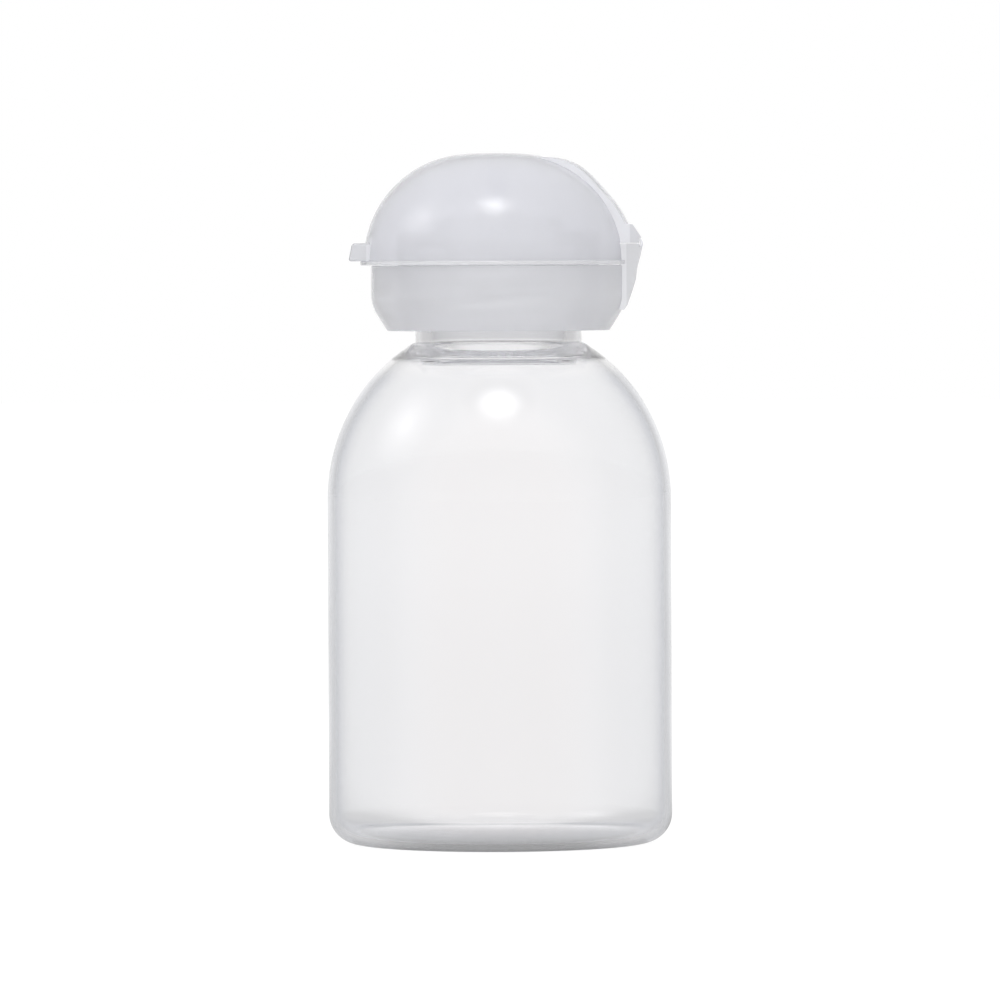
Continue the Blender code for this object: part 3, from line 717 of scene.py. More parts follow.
def clear_plastic(name, finish, neck_root_z):
    """Clear blow-moulded plastic: slightly wavy, with painted shade where a wall is seen along its
    length, painted light that makes the shoulder's crown clearest and painted shade that greys the
    neck's foot."""
    material, tree = blank_material(name)
    surface = place_surface(tree, CLEAR_SURFACE)
    facing = wall_facing(tree)
    height = object_parts(tree)["Z"]
    cap_foot_z = neck_root_z + CAP_STANDOFF
    # Painted shade greys the neck's foot, between its root and the cap's foot
    at_foot = ramp(tree, height, neck_root_z, neck_root_z + NECK_FILLET)
    under_cap = ramp(tree, height, cap_foot_z, cap_foot_z + NECK_FILLET, 1.0, 0.0)
    # Painted light: the shoulder's crown is clearest
    crown_light_mask = ramp(tree, height, neck_root_z - CROWN_DEPTH, neck_root_z - CROWN_DEPTH / 2)
    tint = finish.bottle_colour
    for mask, other in (
        (ramp(tree, facing, *SIDE_FACING), finish.bottle_side),
        # Painted shade where a wall is seen along its length
        (ramp(tree, facing, *OUTLINE_SHADE_FACING), finish.bottle_edge_shade),
        (crown_light_mask, finish.crown_painted_light),
        (product(tree, at_foot, under_cap), finish.neck_painted_shade),
    ):
        tint = tinted(tree, mask, tint, other)
    spread = [part * finish.bottle_roughness for part in CLEAR_SPREAD]
    shader = node(tree, "ShaderNodeBsdfPrincipled", {
        "Base Color": tint,
        "Roughness": ramp(tree, surface["Clouds"], 0.0, 1.0, *spread),
        "Normal": bumped(tree, surface["Waves"], WAVE_DEPTH),
        "IOR": CLEAR_IOR,
        "Transmission Weight": 1.0,
    })
    let_lamps_through(tree, shader.outputs[0], CLEAR_VEIL)
    return material


def milky_plastic(
    name, finish, tint, rougher=1.0, core=False, veil=MILKY_VEIL, gloss=0.0,
    barrel=None, bead_z=None,
):
    """Milky see-through plastic with faint clouds and a satin skin, which can carry a gloss.
    Painted shade greys its outline. What stands out beyond the barrel is a little greyer, and the
    bead on it is clearer and painted lighter, as light along the rim."""
    milk = CORE_MILK_SHARE if core else MILK_SHARE
    roughness = rougher * finish.milky_roughness
    material, tree = blank_material(name)
    surface = place_surface(tree, MILKY_SURFACE)
    dark = [CLOUD_SHARE * part for part in tint]
    clouded = tinted(tree, surface["Clouds"], dark, tint)
    # Painted shade: a wall seen along its length from outside is greyer
    inside = tree.nodes.new("ShaderNodeNewGeometry").outputs["Backfacing"]
    edge = ramp(tree, wall_facing(tree), *MILKY_OUTLINE_SHADE_FACING, 1.0, OUTLINE_SHADE_SHARE)
    edge = maths(tree, "MAXIMUM", inside, edge)
    if barrel:
        parts = object_parts(tree)
        away = maths(tree, "ABSOLUTE", parts["X"])
        beyond = (away, barrel, barrel + MASK_FADE, 1.0)
        edge = product(tree, edge, ramp(tree, *beyond, LUG_SHARE))
    # Painted light: the bead gets a lighter tint, and it also lets more light through
    if bead_z:
        bead = ramp(tree, parts["Z"], bead_z - MASK_FADE, bead_z, 1.0, 0.0)
        bead = product(tree, bead, ramp(tree, *beyond, 0.0))
        clouded = tinted(tree, bead, clouded, BEAD_LIGHT_TINT)
        milk = ramp(tree, bead, 0.0, 1.0, milk, 0.0)
    colour_here = vectors(tree, "SCALE", {0: clouded, "Scale": edge})
    spread = [part * roughness for part in MILKY_SPREAD]
    shader = node(tree, "ShaderNodeBsdfPrincipled", {
        "Base Color": colour_here,
        "Roughness": ramp(tree, surface["Skin"], *SKIN_RANGE, *spread),
        "Normal": bumped(tree, surface["Skin"], SKIN_DEPTH),
        "IOR": MILKY_IOR,
        "Transmission Weight": finish.core_clearness if core else finish.milky_clearness,
        "Coat Weight": gloss,
        "Coat Roughness": COAT_ROUGHNESS,
    })
    # Part of the light comes through the wall scattered
    through = node(tree, "ShaderNodeBsdfTranslucent", {"Color": colour_here}).outputs[0]
    shader = node(tree, "ShaderNodeMixShader", {0: milk, 1: shader.outputs[0], 2: through})
    let_lamps_through(tree, shader.outputs[0], (veil, veil, veil))
    return material


# Heights and radii that several pieces share

class Fit:
    """Heights and radii worked out from the settings, so that each piece meets its neighbours."""

    def __init__(self, scene):
        bottle = scene.flip_bottle
        cap = scene.flip_cap
        lid = scene.flip_lid
        self.neck_root_z = bottle.body_height + bottle.shoulder_height
        self.neck_top_z = self.neck_root_z + bottle.neck_height
        self.thread_z = self.neck_root_z + NECK_THREAD_START
        self.plug_seat_z = self.neck_top_z + SEAT_GAP
        self.plug_top_z = self.plug_seat_z + PLUG_FLANGE
        self.ceiling_z = self.plug_top_z + SEAT_GAP
        self.deck_z = self.ceiling_z + DECK_WALL
        self.turret_z = self.deck_z + cap.turret_height
        self.nozzle_z = self.turret_z + cap.nozzle_height
        self.shell_foot_z = self.neck_root_z + CAP_STANDOFF
        self.sleeve_foot_z = self.shell_foot_z + SLEEVE_LIFT
        self.shell_top_z = self.neck_top_z - SEAM_DROP
        self.ledge_z = self.shell_top_z - LEDGE_DROP
        self.lid_foot_z = self.shell_top_z + SEAM_GAP
        self.dome_z = self.lid_foot_z + RIM_HEIGHT
        self.hinge_z = self.shell_top_z + lid.hinge_rise
        self.ridge_crest = RIDGE_STAND + bottle.thread_ridge
        self.sleeve_bore = bottle.neck_radius + self.ridge_crest + THREAD_GAP
        self.sleeve_radius = self.sleeve_bore + SLEEVE_WALL
        self.foot_bore = self.sleeve_radius + SHELL_GAP
        self.foot_radius = self.foot_bore + FOOT_WALL
        self.shell_radius = self.foot_radius + cap.chamfer_width
        self.shell_bore = self.shell_radius - cap.wall
        self.ledge_bore = self.shell_bore - LEDGE_WIDTH
        self.flange_radius = self.shell_bore - SLIP_GAP
        self.lid_radius = self.shell_radius + LID_OVERHANG
        self.dome_round = self.lid_radius - CROWN_FLAT
        self.hinge_face_x = self.shell_radius + lid.hinge_reach
        self.hinge_x = self.hinge_face_x - FILM_THICKNESS / 2
        self.film_seat_x = self.hinge_face_x - FILM_THICKNESS - FILM_GAP
        self.film_seat_half = FILM_HEIGHT / 2 + FILM_GAP


# Clear bottle

def shoulder_line(sizes, fit):
    """The shoulder's outer points from the neck down, with their normals and distances from it."""
    rise = sizes.shoulder_height * ELLIPSE_RISE_SHARE
    break_angle = asin(ELLIPSE_END_SHARE)
    cosine = cos(break_angle)
    sine = sin(break_angle)
    break_point = Vector((sizes.body_radius * cosine, sizes.body_height + rise * sine))
    break_ahead = Vector((sizes.body_radius * sine, -rise * cosine)).normalized()
    neck = Vector((sizes.neck_radius, fit.neck_root_z))
    neck_ahead = Vector((cos(CROWN_SLOPE), -sin(CROWN_SLOPE)))
    handle = (break_point - neck).length * CROWN_HANDLE_SHARE
    leaving = neck + neck_ahead * handle
    arriving = break_point - break_ahead * handle
    crown = cubic(neck, leaving, arriving, break_point, ROUND_STEPS)
    places = [(place, Vector((-ahead.y, ahead.x))) for place, ahead in crown]
    for step in range(1, CURVE_STEPS + 1):
        angle = break_angle * (1 - step / CURVE_STEPS)
        cosine = cos(angle)
        sine = sin(angle)
        place = Vector((sizes.body_radius * cosine, sizes.body_height + rise * sine))
        normal = Vector((rise * cosine, sizes.body_radius * sine))
        places.append((place, normal.normalized()))
    points = []
    distance = 0
    previous = places[0][0]
    for place, normal in places:
        distance += (place - previous).length
        previous = place
        points.append((place, normal, distance))
    return points


def bottle_outline(sizes, fit):
    """From the floor's middle up the inside, over the lip and down to the base's middle."""
    shoulder = shoulder_line(sizes, fit)
    inner_radius = sizes.body_radius - sizes.wall
    corner = sizes.base_corner - sizes.wall
    foot_outer = sizes.body_radius - sizes.base_corner
    foot_inner = foot_outer - FOOT_WIDTH
    steps = [step / ROUND_STEPS for step in range(ROUND_STEPS + 1)]
    floor = [(foot_inner * part, BASE_WALL + sizes.push_up * (1 - part**2)) for part in steps]
    base = [(foot_inner * part, sizes.push_up * (1 - part**2)) for part in reversed(steps)]
    down = -pi / 2
    inside_corner = arc((inner_radius - corner, BASE_WALL + corner), corner, down, 0, ROUND_STEPS)
    outside_corner = arc((foot_outer, sizes.base_corner), sizes.base_corner, 0, down, ROUND_STEPS)
    inside = []
    for place, normal, distance in reversed(shoulder):
        left = max(0, 1 - distance / NECK_TAPER)
        wall = sizes.wall + (NECK_ROOT_WALL - sizes.wall) * left**2
        inside.append(tuple(place - normal * wall))
    root = inside[-1]
    bore_foot_z = root[1] + (root[0] - sizes.neck_bore) * tan(CROWN_SLOPE)
    lip_z = fit.neck_top_z - LIP_ROUNDING
    lip = []
    for lip_x, start in (
        (sizes.neck_bore + LIP_ROUNDING, pi), (sizes.neck_radius - LIP_ROUNDING, pi / 2),
    ):
        lip += arc((lip_x, lip_z), LIP_ROUNDING, start, start - pi / 2, ROUND_STEPS // 2)
    neck = divided(lip[-1], (sizes.neck_radius, fit.neck_root_z + NECK_FILLET), THREAD_ROW)
    outside = [tuple(place) for place, _, _ in shoulder]
    bore_foot = (sizes.neck_bore, bore_foot_z)
    return [
        *floor, *inside_corner, *inside, bore_foot, *lip, *neck, *outside, *outside_corner, *base,
    ]


def make_clear_bottle(scene):
    sizes = scene.flip_bottle
    fit = Fit(scene)
    material = clear_plastic("clear_bottle_plastic", scene.flip_finishes, fit.neck_root_z)
    bottle = turned("clear_bottle", bottle_outline(sizes, fit), False)
    cut_thread(bottle, {
        "Carrier Radius": sizes.neck_radius, "Lead": sizes.thread_lead, "Ridge": fit.ridge_crest,
        "Start Height": fit.thread_z, "Start Angle": NECK_THREAD_ANGLE, "Turns": sizes.neck_turns,
    }, material)
    place_piece(bottle, "bottle", ["bottle"])


# Seal plug

def make_seal_plug(scene):
    sizes = scene.flip_bottle
    finish = scene.flip_finishes
    fit = Fit(scene)
    radius = sizes.neck_bore - SLIP_GAP
    inner = radius - PLUG_WALL
    flange = fit.sleeve_bore - SLIP_GAP
    foot_z = fit.plug_seat_z - scene.flip_cap.plug_depth
    outline = rounded([
        (inner, fit.plug_top_z),
        (flange, fit.plug_top_z),
        (flange, fit.plug_seat_z),
        (radius, fit.plug_seat_z, 0),
        (radius, foot_z, 2 * EDGE_ROUNDING),
        (PLUG_HOLE, foot_z),
        (PLUG_HOLE, foot_z + PLUG_WALL),
        (inner, foot_z + PLUG_WALL),
    ], EDGE_ROUNDING)
    plug = turned("soft_seal_plug", outline, True)
    material = milky_plastic(
        "soft_seal_plastic", finish, finish.plug_colour, PLUG_ROUGHER, core=True
    )
    place_piece(plug, "seal", ["seal_plug"], material)


# Cap core

def make_cap_core(scene):
    sizes = scene.flip_bottle
    cap = scene.flip_cap
    finish = scene.flip_finishes
    fit = Fit(scene)
    flange_z = fit.ledge_z + SLIP_GAP
    turret_bore = cap.turret_radius - TURRET_WALL
    turret_ceiling_z = fit.turret_z - DECK_WALL
    bore_foot = (fit.sleeve_bore, fit.sleeve_foot_z + SLIP_GAP)
    bore_top = (fit.sleeve_bore, fit.ceiling_z)
    upper = rounded([
        bore_top,
        (turret_bore, fit.ceiling_z),
        (turret_bore, turret_ceiling_z),
        (cap.nozzle_hole, turret_ceiling_z),
        (cap.nozzle_hole, fit.nozzle_z),
        (cap.nozzle_radius, fit.nozzle_z, NOZZLE_ROUNDING),
        (cap.nozzle_radius, fit.turret_z),
        (cap.turret_radius, fit.turret_z, DECK_ROUNDING),
        (cap.turret_radius, fit.deck_z),
        (fit.sleeve_radius, fit.deck_z, DECK_ROUNDING),
        (fit.sleeve_radius, flange_z + SEAT_FLANGE),
        (fit.flange_radius, flange_z + SEAT_FLANGE),
        (fit.flange_radius, flange_z),
        (fit.sleeve_radius, flange_z),
        (fit.sleeve_radius, fit.sleeve_foot_z),
        (fit.sleeve_bore, fit.sleeve_foot_z),
        bore_foot,
    ], EDGE_ROUNDING, closed=False)
    outline = upper + divided(bore_foot, bore_top, THREAD_ROW)
    core = turned("milky_cap_core", outline, True)
    material = milky_plastic("milky_core_plastic", finish, finish.core_colour, core=True)
    turned_by = CAP_THREAD_ANGLE - NECK_THREAD_ANGLE
    cut_thread(core, {
        "Carrier Radius": fit.sleeve_bore, "Lead": sizes.thread_lead, "Ridge": -sizes.thread_ridge,
        "Start Height": fit.thread_z + sizes.thread_lead * (turned_by / tau - 0.5),
        "Start Angle": CAP_THREAD_ANGLE, "Turns": sizes.cap_turns,
    }, material)
    place_piece(core, "cap", ["cap_core"])


# Cap shell

def shell_bore_at(fit, height):
    if height >= fit.ledge_z:
        return fit.shell_bore
    part = (height - fit.shell_foot_z) / (fit.ledge_z - fit.shell_foot_z)
    return fit.foot_bore + (fit.ledge_bore - fit.foot_bore) * part


def shell_joint_x(fit, cap, width, height):
    """A place inside the shell's wall over the lug's whole width."""
    cone = fit.foot_radius + (height - fit.shell_foot_z) * tan(cap.chamfer_angle)
    outer = sqrt(min(fit.shell_radius, cone) ** 2 - (width / 2) ** 2)
    return (shell_bore_at(fit, height) + outer) / 2


def lower_lug_outline(scene, fit):
    cap = scene.flip_cap
    lid = scene.flip_lid
    width = lid.hinge_width
    top_z = fit.hinge_z - PARTING_GAP / 2
    foot_z = top_z - LOWER_LUG_HEIGHT
    outline = [
        (shell_joint_x(fit, cap, width, fit.ledge_z), top_z, LUG_ROUNDING),
        (fit.film_seat_x, top_z),
        (fit.film_seat_x, fit.hinge_z - fit.film_seat_half),
    ]
    for index, (out, down) in enumerate(LOWER_LUG_SHARES):
        x = fit.shell_radius + lid.hinge_reach * out
        rounding = LUG_ROUNDING if index else LUG_LIP_ROUNDING
        outline.append((x, top_z - LOWER_LUG_HEIGHT * down, rounding))
    outline.append((shell_joint_x(fit, cap, width, foot_z), foot_z))
    outline.append((shell_joint_x(fit, cap, width, fit.ledge_z), fit.ledge_z))
    return rounded(outline)


def make_cap_shell(scene):
    cap = scene.flip_cap
    finish = scene.flip_finishes
    fit = Fit(scene)
    slope = cap.chamfer_angle
    corner_z = fit.shell_foot_z + cap.chamfer_width / tan(slope)
    blend_x = fit.shell_radius - CHAMFER_BLEND
    blend_z = corner_z + CHAMFER_BLEND * tan(slope / 2)
    blend = arc((blend_x, blend_z), CHAMFER_BLEND, 0, -slope, ROUND_STEPS)
    outline = rounded([
        (fit.shell_bore, fit.shell_top_z),
        (fit.shell_radius, fit.shell_top_z, SHELL_ROUNDING),
        *((x, z, 0) for x, z in blend),
        (fit.foot_radius, fit.shell_foot_z),
        (fit.foot_bore, fit.shell_foot_z),
        (fit.ledge_bore, fit.ledge_z),
        (fit.shell_bore, fit.ledge_z, 0),
    ], EDGE_ROUNDING)
    shell = turned("milky_cap_shell", outline, True)
    lug = upright_plate("lower_lug", lower_lug_outline(scene, fit), scene.flip_lid.hinge_width)
    soften(lug, LUG_ROUNDING, sides_only=True)
    combine(shell, lug, "UNION")
    material = milky_plastic(
        "milky_cap_plastic", finish, finish.cap_colour, gloss=1.0, barrel=fit.shell_radius
    )
    place_piece(shell, "cap", ["cap_shell"], material)


# Lid, drawn about the dome's own axis, which lies a little in front of the cap's

def dome_radius_at(fit, height, inset):
    ball = fit.dome_round - inset
    return CROWN_FLAT + sqrt(max(0, ball**2 - (height - fit.dome_z) ** 2))


def dome_joint(fit, lid, height, width):
    """A distance from the dome's axis that lies inside its wall over a lug's or tab's width."""
    outer = sqrt(dome_radius_at(fit, height, 0) ** 2 - (width / 2) ** 2)
    return (dome_radius_at(fit, height, lid.wall) + outer) / 2


def crown_points(fit, inset):
    """The near-flat crown from the dome's round side to the axis, meeting it without a corner."""
    crown_round = fit.dome_round - inset + CROWN_FLAT / cos(CROWN_ANGLE)
    centre_z = fit.dome_z - CROWN_FLAT * tan(CROWN_ANGLE)
    return arc((0, centre_z), crown_round, CROWN_ANGLE, pi / 2, ROUND_STEPS)


def dome_outline(fit, lid):
    """From the top of the crown down the outside, round the rim bead and up the inside."""
    outside = list(reversed(crown_points(fit, 0)))
    outside += arc((CROWN_FLAT, fit.dome_z), fit.dome_round, CROWN_ANGLE, 0, CURVE_STEPS)[1:]
    rim = rounded([
        outside[-1],
        (fit.lid_radius + RIM_BEAD, fit.dome_z),
        (fit.lid_radius + RIM_BEAD, fit.lid_foot_z),
        (fit.lid_radius - lid.wall, fit.lid_foot_z),
        (fit.lid_radius - lid.wall, fit.dome_z),
    ], EDGE_ROUNDING, closed=False)
    inside = arc((CROWN_FLAT, fit.dome_z), fit.dome_round - lid.wall, 0, CROWN_ANGLE, CURVE_STEPS)
    inside += crown_points(fit, lid.wall)[1:]
    outside[0] = (0, outside[0][1])
    inside[-1] = (0, inside[-1][1])
    return outside[:-1] + rim[:-1] + inside


def upper_lug(lid, fit):
    """The lid's half of the hinge. Its foot runs on below the notch that trims it."""
    reach = fit.hinge_face_x + LID_FORWARD - fit.lid_radius
    low_z = fit.hinge_z - LUG_GAP
    top_z = fit.hinge_z + UPPER_LUG_HEIGHT
    outline = [
        (dome_joint(fit, lid, low_z, lid.hinge_width), low_z),
        (dome_joint(fit, lid, top_z, lid.hinge_width), top_z),
    ]
    for index, (out, up) in reversed(list(enumerate(UPPER_LUG_SHARES))):
        x = fit.lid_radius + reach * out
        rounding = LUG_ROUNDING if index else LUG_LIP_ROUNDING
        outline.append((x, fit.hinge_z + UPPER_LUG_HEIGHT * up, rounding))
    outline += [
        (fit.film_seat_x + LID_FORWARD, fit.hinge_z + fit.film_seat_half),
        (fit.film_seat_x + LID_FORWARD, low_z),
    ]
    shifted = [(x - LID_FORWARD, z) for x, z in rounded(outline)]
    lug = upright_plate("upper_lug", shifted, lid.hinge_width)
    soften(lug, LUG_ROUNDING, sides_only=True)
    return lug


def raised_strap(lid, fit):
    """The raised strap: a turned ring over the dome, cut to the strap's width."""
    outside = []
    for step in range(CURVE_STEPS + 1):
        along = 1 - step / CURVE_STEPS
        angle = STRAP_ANGLE * along
        reach = fit.dome_round + STRAP_PROUD * along_table(STRAP_SHARES, along)
        outside.append((CROWN_FLAT + reach * cos(angle), fit.dome_z + reach * sin(angle)))
    inside_round = fit.dome_round - lid.wall / 2
    inside = arc((CROWN_FLAT, fit.dome_z), inside_round, 0, STRAP_ANGLE, CURVE_STEPS)
    strap = turned("raised_strap", outside + inside, True, -LID_FORWARD)
    half = lid.hinge_width / 2
    gate = block(
        "strap_gate",
        (0, -half, fit.hinge_z + LUG_GAP),
        (fit.lid_radius + OVERRUN, half, fit.dome_z + fit.dome_round + OVERRUN),
    )
    combine(strap, gate, "INTERSECT")
    soften(strap, STRAP_ROUNDING)
    return strap


def thumb_tab(lid, fit):
    low_z = fit.dome_z
    high_z = fit.dome_z + lid.tab_thickness
    tip = fit.lid_radius + lid.tab_length
    joint = dome_joint(fit, lid, (low_z + high_z) / 2, lid.tab_width)
    outline = [(-joint, low_z), (-joint, high_z), (-tip + TAB_SLANT, high_z), (-tip, low_z)]
    tab = upright_plate("thumb_tab", [(x - LID_FORWARD, z) for x, z in outline], lid.tab_width)
    soften(tab, TAB_ROUNDING)
    return tab


def sealing_pin(lid, fit):
    """The pin that closes the nozzle. It hangs from inside the crown, on the cap's axis."""
    top_z = fit.dome_z + fit.dome_round - lid.wall / 2
    tip_z = fit.nozzle_z - PIN_DEPTH
    outline = [
        (0, top_z),
        (PIN_RADIUS, top_z),
        (PIN_RADIUS, tip_z + PIN_TAPER),
        (PIN_RADIUS - PIN_TAPER, tip_z),
        (0, tip_z),
    ]
    return turned("sealing_pin", outline, False, 0, TURN_STEPS // 3)


def make_lid(scene):
    lid_sizes = scene.flip_lid
    finish = scene.flip_finishes
    fit = Fit(scene)
    lid = turned("milky_lid", dome_outline(fit, lid_sizes), False, -LID_FORWARD)
    for tool in (upper_lug, raised_strap, thumb_tab, sealing_pin):
        combine(lid, tool(lid_sizes, fit), "UNION")
    half = lid_sizes.hinge_width / 2 + LUG_GAP
    notch = block(
        "lug_notch",
        (fit.shell_bore - OVERRUN, -half, fit.lid_foot_z - OVERRUN),
        (fit.hinge_face_x + OVERRUN, half, fit.hinge_z + PARTING_GAP / 2),
    )
    combine(lid, notch, "DIFFERENCE")
    material = milky_plastic(
        "milky_lid_plastic", finish, finish.lid_colour, LID_SMOOTHER, gloss=1.0,
        barrel=fit.lid_radius, bead_z=fit.dome_z,
    )
    place_piece(lid, "lid", ["lid"], material)


# Living hinge

def make_living_hinge(scene):
    """The film between the lugs: flush with them outside and thinned inside, where it bends."""
    width = scene.flip_lid.hinge_width - 2 * FILM_INSET
    finish = scene.flip_finishes
    fit = Fit(scene)
    low_z = fit.hinge_z - FILM_HEIGHT / 2
    outer = []
    inner = []
    for step in range(FILM_STEPS + 1):
        part = step / FILM_STEPS
        height = low_z + FILM_HEIGHT * part
        thin = (FILM_THICKNESS - FILM_WAIST) * sin(pi * part) ** 2
        deep = FILM_THICKNESS * max(0, along_table(FILM_SHARES, part))
        outer.append((fit.hinge_face_x - deep, height))
        inner.append((fit.hinge_face_x - FILM_THICKNESS + thin, height))
    film = upright_plate("hinge_film", outer + list(reversed(inner)), width)
    material = milky_plastic("milky_film_plastic", finish, finish.lid_colour, veil=FILM_VEIL)
    place_piece(film, None, ["living_hinge"], material)
    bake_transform(film)


# Stage

SENSOR_WIDTH = 36.0
LIGHT_BOUNCES = 64

# Soft boxes: azimuth, elevation, distance, and width and height. They fade from their middle.
SOFT_BOXES = {
    "key": (0, radians(62), 1.0, (0.7, 0.67)),
    "side": (radians(84), radians(35), 1.0, (1.1, 1.1)),
}
BOX_MIDDLE = (0.5, 0.5, 0)
BOX_FADE = 2.0

# Surroundings: how far a direction points back, ahead and up where their levels change
BACK_RANGE = (0.86, 0.99)
AHEAD_RANGE = (0.0, -0.8)
TOP_RANGE = (0.4, 0.9)

# Floor: its colour, and what it adds for the rays that light the bottle and for the camera
FLOOR_HALF = 3.0
FLOOR_COLOUR = (0.22, 0.22, 0.22)
FLOOR_FILL = 0.77
FLOOR_GLOW = 0.88
# Painted shadow in the floor's glow for all rays but the camera's, centred a little in front of the
# bottle
SHADE_FORWARD = 7.0 * MM
CONTACT_REACH = (10.0 * MM, 20.5 * MM)
CONTACT_LEVEL = 0.3
NEAR_REACH = (100.0 * MM, 1100.0 * MM)
NEAR_LEVEL = 0.93


def point_at(obj, place):
    obj.rotation_euler = (Vector(place) - obj.location).to_track_quat("-Z", "Y").to_euler()


def make_camera(scene, stage):
    camera_data = bpy.data.cameras.new("camera")
    camera = bpy.data.objects.new("camera", camera_data)
    scene.collection.objects.link(camera)
    camera.location = (stage.aim_side, -stage.camera_distance, stage.camera_height)
    point_at(camera, (stage.aim_side, 0, stage.aim_height))
    camera.rotation_euler.rotate_axis("Z", stage.camera_roll)
    camera_data.sensor_width = SENSOR_WIDTH
    camera_data.lens = SENSOR_WIDTH * stage.camera_distance / stage.view_width
    camera_data.clip_end = 2 * FLOOR_HALF
    scene.camera = camera


def make_soft_box(scene, name, place, level, target):
    """A round lamp that faces the bottle. Azimuth runs from the camera's side leftwards."""
    azimuth, elevation, distance, size = place
    around = Vector((-sin(azimuth), -cos(azimuth), 0)) * cos(elevation)
    lamp = bpy.data.lights.new(name, "AREA")
    lamp.shape = "ELLIPSE"
    lamp.size, lamp.size_y = size
    lamp.energy = level * pi * pi / 4 * size[0] * size[1]
    lamp.use_nodes = True
    tree = lamp.node_tree
    tree.nodes.clear()
    spot = tree.nodes.new("ShaderNodeNewGeometry").outputs["Parametric"]
    centred = vectors(tree, "DISTANCE", {0: spot, 1: BOX_MIDDLE}, "Value")
    fade = maths(tree, "POWER", ramp(tree, centred, 0.0, 0.5, 1.0, 0.0, "LINEAR"), BOX_FADE)
    glow = node(tree, "ShaderNodeEmission", {"Strength": fade})
    node(tree, "ShaderNodeOutputLight", {"Surface": glow.outputs[0]})
    box = bpy.data.objects.new(name, lamp)
    scene.collection.objects.link(box)
    box.location = target + distance * (around + Vector((0, 0, sin(elevation))))
    point_at(box, target)


def surroundings_level(tree, stage, direction):
    """Brightest behind the bottle and quieter at the sides, for any direction."""
    parts = separated(tree, direction)
    flank = stage.flank_level
    back = ramp(tree, parts["Y"], *BACK_RANGE, flank, stage.back_level)
    ahead = ramp(tree, parts["Y"], *AHEAD_RANGE, 0.0, stage.front_level - flank)
    top = ramp(tree, parts["Z"], *TOP_RANGE, 0.0, stage.top_level - flank)
    return maths(tree, "ADD", maths(tree, "ADD", back, ahead), top)


def seen_otherwise(tree, unseen, seen):
    """One value for the camera and another one for all other rays."""
    camera_ray = tree.nodes.new("ShaderNodeLightPath").outputs["Is Camera Ray"]
    mix = node(tree, "ShaderNodeMix", {0: camera_ray, 2: unseen, 3: seen}, data_type="FLOAT")
    return mix.outputs[0]


def make_world(scene, stage):
    """White to the camera, and the surroundings' own level to everything else."""
    world = bpy.data.worlds.new("white_studio")
    scene.world = world
    world.use_nodes = True
    tree = world.node_tree
    tree.nodes.clear()
    direction = tree.nodes.new("ShaderNodeTexCoord").outputs["Generated"]
    strength = seen_otherwise(tree, surroundings_level(tree, stage, direction), 1.0)
    light = node(tree, "ShaderNodeBackground", {"Color": (1, 1, 1, 1), "Strength": strength})
    node(tree, "ShaderNodeOutputWorld", {"Surface": light.outputs[0]})


def make_floor(scene, stage):
    """A white floor. To the camera it is plain white but for the bottle's soft shadow; to all else
    it goes on from the surroundings and darkens where the bottle stands, with a painted shadow."""
    shape = bmesh.new()
    corners = [(-1, -1), (1, -1), (1, 1), (-1, 1)]
    shape.faces.new([shape.verts.new((FLOOR_HALF * x, FLOOR_HALF * y, 0)) for x, y in corners])
    floor = mesh_object("floor", shape)
    material, tree = blank_material("white_floor")
    place = tree.nodes.new("ShaderNodeTexCoord").outputs["Object"]
    away = vectors(tree, "LENGTH", {0: place}, "Value")
    level = surroundings_level(tree, stage, vectors(tree, "NORMALIZE", {0: place}))
    # Painted shadow round the bottle's foot, centred a little towards the camera
    from_shade = vectors(tree, "DISTANCE", {0: place, 1: (0, -SHADE_FORWARD, 0)}, "Value")
    painted_contact_shadow = ramp(tree, from_shade, *CONTACT_REACH, CONTACT_LEVEL, 1.0)
    near = ramp(tree, away, *NEAR_REACH, NEAR_LEVEL * FLOOR_FILL, FLOOR_FILL)
    strength = seen_otherwise(tree, product(tree, level, painted_contact_shadow, near), FLOOR_GLOW)
    skin = node(tree, "ShaderNodeBsdfDiffuse", {"Color": (*FLOOR_COLOUR, 1)}).outputs[0]
    glow = node(tree, "ShaderNodeEmission", {"Color": (1, 1, 1, 1), "Strength": strength})
    lit = node(tree, "ShaderNodeAddShader", {0: skin, 1: glow.outputs[0]})
    node(tree, "ShaderNodeOutputMaterial", {"Surface": lit.outputs[0]})
    floor.data.materials.append(material)


def make_stage(scene):
    stage = scene.flip_stage
    make_camera(scene, stage)
    target = Vector((0, 0, stage.camera_height))
    for name, place in SOFT_BOXES.items():
        make_soft_box(scene, name + "_box", place, getattr(stage, name + "_level"), target)
    make_world(scene, stage)
    make_floor(scene, stage)
    # Light crosses many walls where the neck stands inside the cap
    cycles = scene.cycles
    cycles.max_bounces = cycles.transmission_bounces = LIGHT_BOUNCES
    cycles.glossy_bounces = cycles.diffuse_bounces = LIGHT_BOUNCES
    scene.view_settings.view_transform = "Standard"


# Operators and panel

class FLIP_OT_clear_bottle(Operator):
    """Build the clear bottle with its threaded neck"""

    bl_idname = "flip_top.clear_bottle"
    bl_label = "Clear bottle"

    def execute(self, context):
        make_clear_bottle(context.scene)
        return {"FINISHED"}


class FLIP_OT_seal_plug(Operator):
    """Build the soft plug that seals the neck"""

    bl_idname = "flip_top.seal_plug"
    bl_label = "Seal plug"

    def execute(self, context):
        make_seal_plug(context.scene)
        return {"FINISHED"}


class FLIP_OT_cap_core(Operator):
    """Build the threaded core with its raised deck and nozzle"""

    bl_idname = "flip_top.cap_core"
    bl_label = "Cap core"

    def execute(self, context):
        make_cap_core(context.scene)
        return {"FINISHED"}


class FLIP_OT_cap_shell(Operator):
    """Build the cap's outer barrel with its hinge lug"""

    bl_idname = "flip_top.cap_shell"
    bl_label = "Cap shell"

    def execute(self, context):
        make_cap_shell(context.scene)
        return {"FINISHED"}


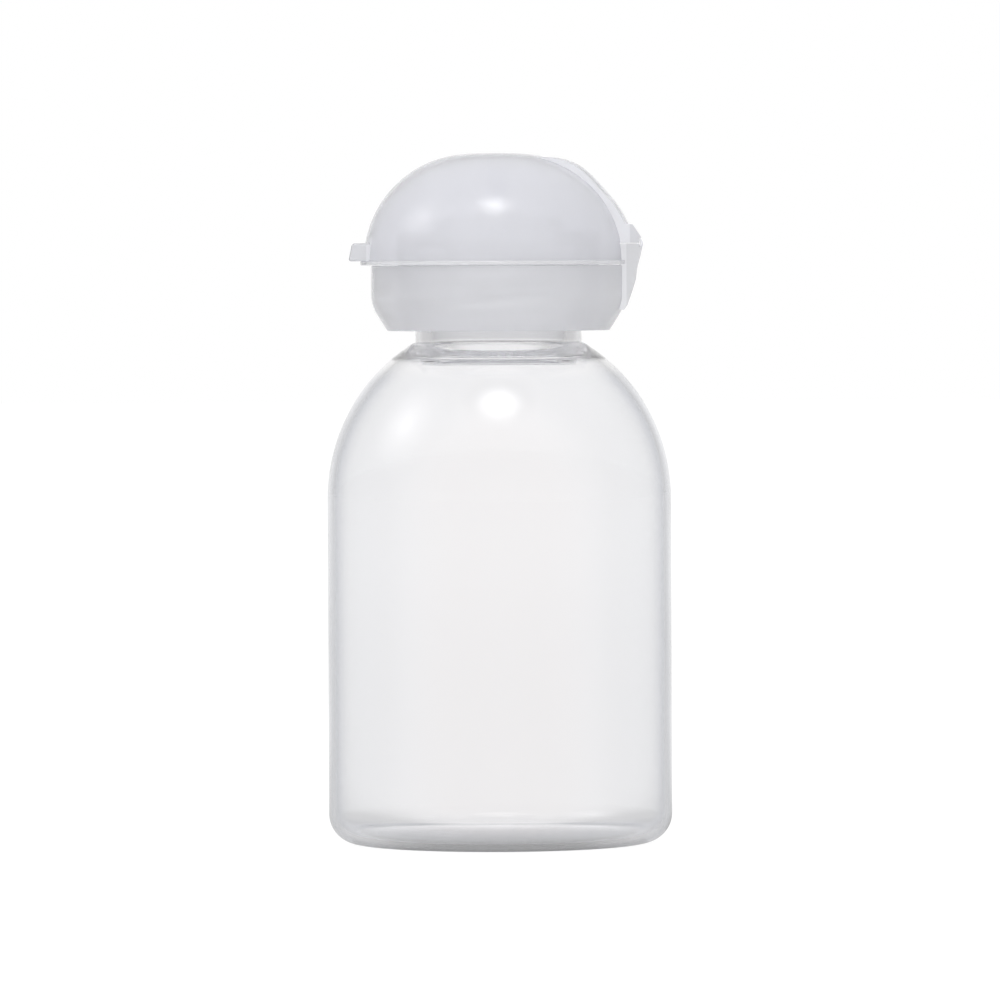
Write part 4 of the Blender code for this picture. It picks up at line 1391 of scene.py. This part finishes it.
class FLIP_OT_lid(Operator):
    """Build the domed lid with its tab, strap and lug"""

    bl_idname = "flip_top.lid"
    bl_label = "Lid"

    def execute(self, context):
        make_lid(context.scene)
        return {"FINISHED"}


class FLIP_OT_living_hinge(Operator):
    """Build the thin film that bends when the lid opens"""

    bl_idname = "flip_top.living_hinge"
    bl_label = "Living hinge"

    def execute(self, context):
        make_living_hinge(context.scene)
        return {"FINISHED"}


class FLIP_OT_stage(Operator):
    """Set up the floor, lamps, surroundings and camera"""

    bl_idname = "flip_top.stage"
    bl_label = "Stage"

    def execute(self, context):
        make_stage(context.scene)
        return {"FINISHED"}


OPERATORS = (
    FLIP_OT_clear_bottle,
    FLIP_OT_seal_plug,
    FLIP_OT_cap_core,
    FLIP_OT_cap_shell,
    FLIP_OT_lid,
    FLIP_OT_living_hinge,
    FLIP_OT_stage,
)


class FLIP_PT_panel(Panel):
    """Lists the settings and the pieces of the bottle"""

    bl_idname = "FLIP_PT_panel"
    bl_label = "Flip-top bottle"
    bl_space_type = "VIEW_3D"
    bl_region_type = "UI"
    bl_category = "Bottle"

    def draw(self, context):
        for name, group in SETTINGS.items():
            box = self.layout.box()
            box.label(text=group.__doc__)
            for setting in group.__annotations__:
                box.prop(getattr(context.scene, name), setting)
        for operator in OPERATORS:
            self.layout.operator(operator.bl_idname)


CLASSES = (*SETTINGS.values(), *OPERATORS, FLIP_PT_panel)


def register():
    for kind in CLASSES:
        bpy.utils.register_class(kind)
    for name, group in SETTINGS.items():
        setattr(bpy.types.Scene, name, PointerProperty(type=group))


def unregister():
    for name in SETTINGS:
        delattr(bpy.types.Scene, name)
    for kind in reversed(CLASSES):
        bpy.utils.unregister_class(kind)


def main():
    register()
    bpy.ops.flip_top.clear_bottle()
    bpy.ops.flip_top.seal_plug()
    bpy.ops.flip_top.cap_core()
    bpy.ops.flip_top.cap_shell()
    bpy.ops.flip_top.lid()
    bpy.ops.flip_top.living_hinge()
    bpy.ops.flip_top.stage()


if __name__ == "__main__":
    main()
